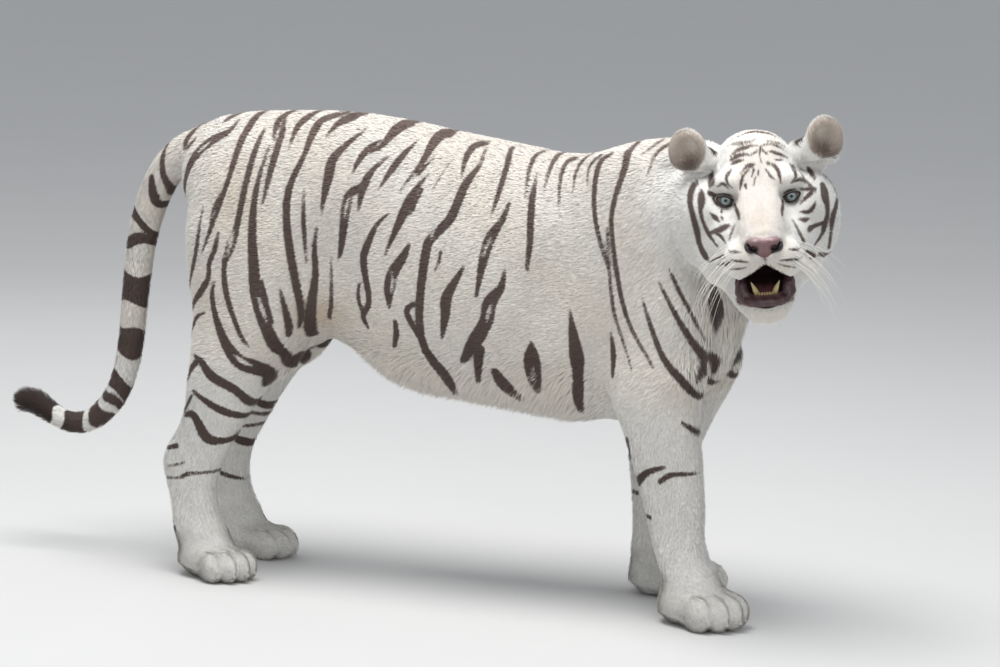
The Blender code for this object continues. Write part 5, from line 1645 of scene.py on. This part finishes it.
def whiskers(random):
    """Each line leaves its root outwards and sinks along t squared; thinning to its tip."""
    lines, radii = [], []
    t = np.linspace(0, 1, 11)
    for side in (-1, 1):
        for row in range(WHISKER_ROWS):
            for k in range(WHISKERS_IN_ROW):
                y = (0.050 + 0.003 * k) * side
                z = -0.074 - 0.0105 * row + 0.0015 * random.normal()
                x = float(skin_front(np.array([y]), np.array([z]))[0]) - 0.001
                length = random.uniform(*WHISKER_LENGTHS) * (1.0 if side < 0 else LEFT_LONGER)
                forward = 0.30 + 0.12 * random.normal()
                way = unit(np.array([forward, side, -0.34 - 0.14 * row + 0.14 * random.normal()]))
                sink = np.array([-0.10, -0.18 * side, -0.34 + 0.14 * random.normal()])
                lines.append(np.array([x, y, z]) + length * (way * t[:, None] + sink * t[:, None] ** 2))
                radii.append(WHISKER_RADIUS * (1 - 0.82 * t))
    for k in range(CHIN_WHISKERS):
        side = 1 if k % 2 else -1
        y = side * random.uniform(0.004, 0.040)
        root = np.array([0.088 - 8 * y * y, y, -0.198 - random.uniform(0, 0.018)])
        way = np.array([0.35, 0.5 * side * random.uniform(0.2, 1.2), -0.8])
        curve = way * t[:, None] + np.array([-0.2, 0, -0.15]) * t[:, None] ** 2
        lines.append(root + random.uniform(*CHIN_WHISKER_LENGTHS) * curve)
        radii.append(CHIN_WHISKER_RADIUS * (1 - 0.85 * t))
    return np.stack(lines), np.stack(radii)


points, quads, triangles = tubes(*whiskers(np.random.default_rng(5)), sides=5)
tint = painted(points, WHISKER_WHITE)
piece("whiskers", from_head(points), quads, triangles, tint, tinted("whisker", 0.45, 0.4), "coat")


# Claws: grey-brown horn, drawn back between the toes so that only the points show. Each is a short
# curved cone with its root inside the toe.
CLAW_START, CLAW_LENGTH, CLAW_RADIUS = 0.009, 0.025, 0.0036  # the first is ahead of the toe's middle
HORN = (0.34, 0.28, 0.23)


def claws():
    """One curved cone to each toe, in the paw's own frame."""
    lines, radii = [], []
    t = np.linspace(0, 1, 9)
    for spot, yaw, length, width, height in PAWS.values():
        for side, ahead in TOES:
            x = length * ahead + CLAW_START + CLAW_LENGTH * t
            y = side * TOE_SPREAD * width + side * 0.003 * t
            z = height * 0.30 - 0.002 - 0.010 * t**2
            lines.append(np.stack([x, y, z], -1) @ turn(yaw).T + (*spot, 0))
            radii.append(CLAW_RADIUS * (1 - 0.80 * t**2))
    return np.stack(lines), np.stack(radii)


points, quads, triangles = tubes(*claws(), sides=8)
tint = painted(points, HORN)
piece("claws", points, quads, triangles, tint, tinted("claw_horn", 0.35, 0.5), "coat")


# Paw pads: bare pinkish-brown skin under each foot, one broad pad and four toe pads. They stand
# just proud of the sole, where the fur leaves off.
BROAD_PAD = ((0.30, 0.0), (0.20, 0.24))  # shares of the paw's length and width: place, half size
TOE_PADS = [((ahead - 0.02, side * 0.335), (0.09, 0.075)) for side, ahead in TOES]
PAD_HALF_THICK, PAD_MIDDLE, PAD_FLAT = 0.007, 0.004, 0.0004  # the last two are heights
PAD_ROWS, PAD_COLUMNS = 11, 24
PAD_BROWN = (0.26, 0.145, 0.125)


def pads():
    """Flattened balls, cut level at the floor."""
    about, up = np.meshgrid(angles(PAD_COLUMNS), np.radians(np.linspace(-82, 82, PAD_ROWS)))
    shell = np.stack([np.cos(up) * np.cos(about), np.cos(up) * np.sin(about), np.sin(up)], -1)
    shell = np.concatenate([shell.reshape(-1, 3), [(0, 0, -1), (0, 0, 1)]])
    made = []
    for spot, yaw, length, width, _ in PAWS.values():
        for (ahead, side), (long, wide) in [BROAD_PAD] + TOE_PADS:
            pad = shell * (long * length, wide * width, PAD_HALF_THICK)
            pad = pad + (ahead * length, side * width, PAD_MIDDLE)
            pad[:, 2] = np.maximum(pad[:, 2], PAD_FLAT)
            made.append(pad @ turn(yaw).T + (*spot, 0))
    return np.concatenate(made), *repeated(len(made), PAD_ROWS, PAD_COLUMNS)


points, quads, triangles = pads()
pad_skin = tinted("pad_skin", 0.6, 0.35, 500.0, 0.0005)
piece("paw_pads", points, quads, triangles, painted(points, PAD_BROWN), pad_skin, "coat")


# Studio: a plain pale matt floor under an even sky, with soft light from a broad lamp above and
# two weaker ones in front of the model and behind it.
FLOOR_REACH, FLOOR_TONE = 60.0, 0.60
SKY, SKY_STRENGTH = (0.90, 0.94, 1.0, 1), 0.56
LAMPS = {  # place, aim, size, power
    "lamp_above": ((-0.1, -0.7, 5.0), (0.0, 0.0, 0.6), 3.4, 255),
    "lamp_front": ((2.2, -3.6, 1.9), (0.3, 0.0, 0.4), 2.2, 20),
    "lamp_back": ((-2.0, 3.0, 2.4), (0.0, 0.0, 0.6), 2.2, 10),
}


def stage():
    """A wide flat floor with a matt finish, an even sky, and three soft lamps."""
    corners = FLOOR_REACH * np.array([(-1, -1, 0), (1, -1, 0), (1, 1, 0), (-1, 1, 0)])
    floor = mesh_object("floor", corners - MOVE, np.array([[0, 1, 2, 3]]))
    material, place, link = new_material("floor_paint", 0.9, 0.1)
    tone = place.noise(3.0) * 0.02 + FLOOR_TONE
    link(Base_Color=place.node("CombineColor", (), {0: tone, 1: tone * 0.99, 2: tone * 0.97}))
    floor.data.materials.append(material)
    world = bpy.data.worlds.new("studio")
    bpy.context.scene.world = world
    world.use_nodes = True
    background = world.node_tree.nodes["Background"]
    background.inputs["Color"].default_value = SKY
    background.inputs["Strength"].default_value = SKY_STRENGTH
    for name, (spot, aim, size, power) in LAMPS.items():
        lamp = bpy.data.objects.new(name, bpy.data.lights.new(name, "AREA"))
        lamp.data.shape = "DISK"
        lamp.data.size = size
        lamp.data.energy = power
        lamp.location = spot
        lamp.rotation_mode = "QUATERNION"
        lamp.rotation_quaternion = (Vector(aim) - Vector(spot)).to_track_quat("-Z", "Y")
        bpy.context.scene.collection.objects.link(lamp)


stage()
bpy.context.scene.view_settings.view_transform = "Standard"
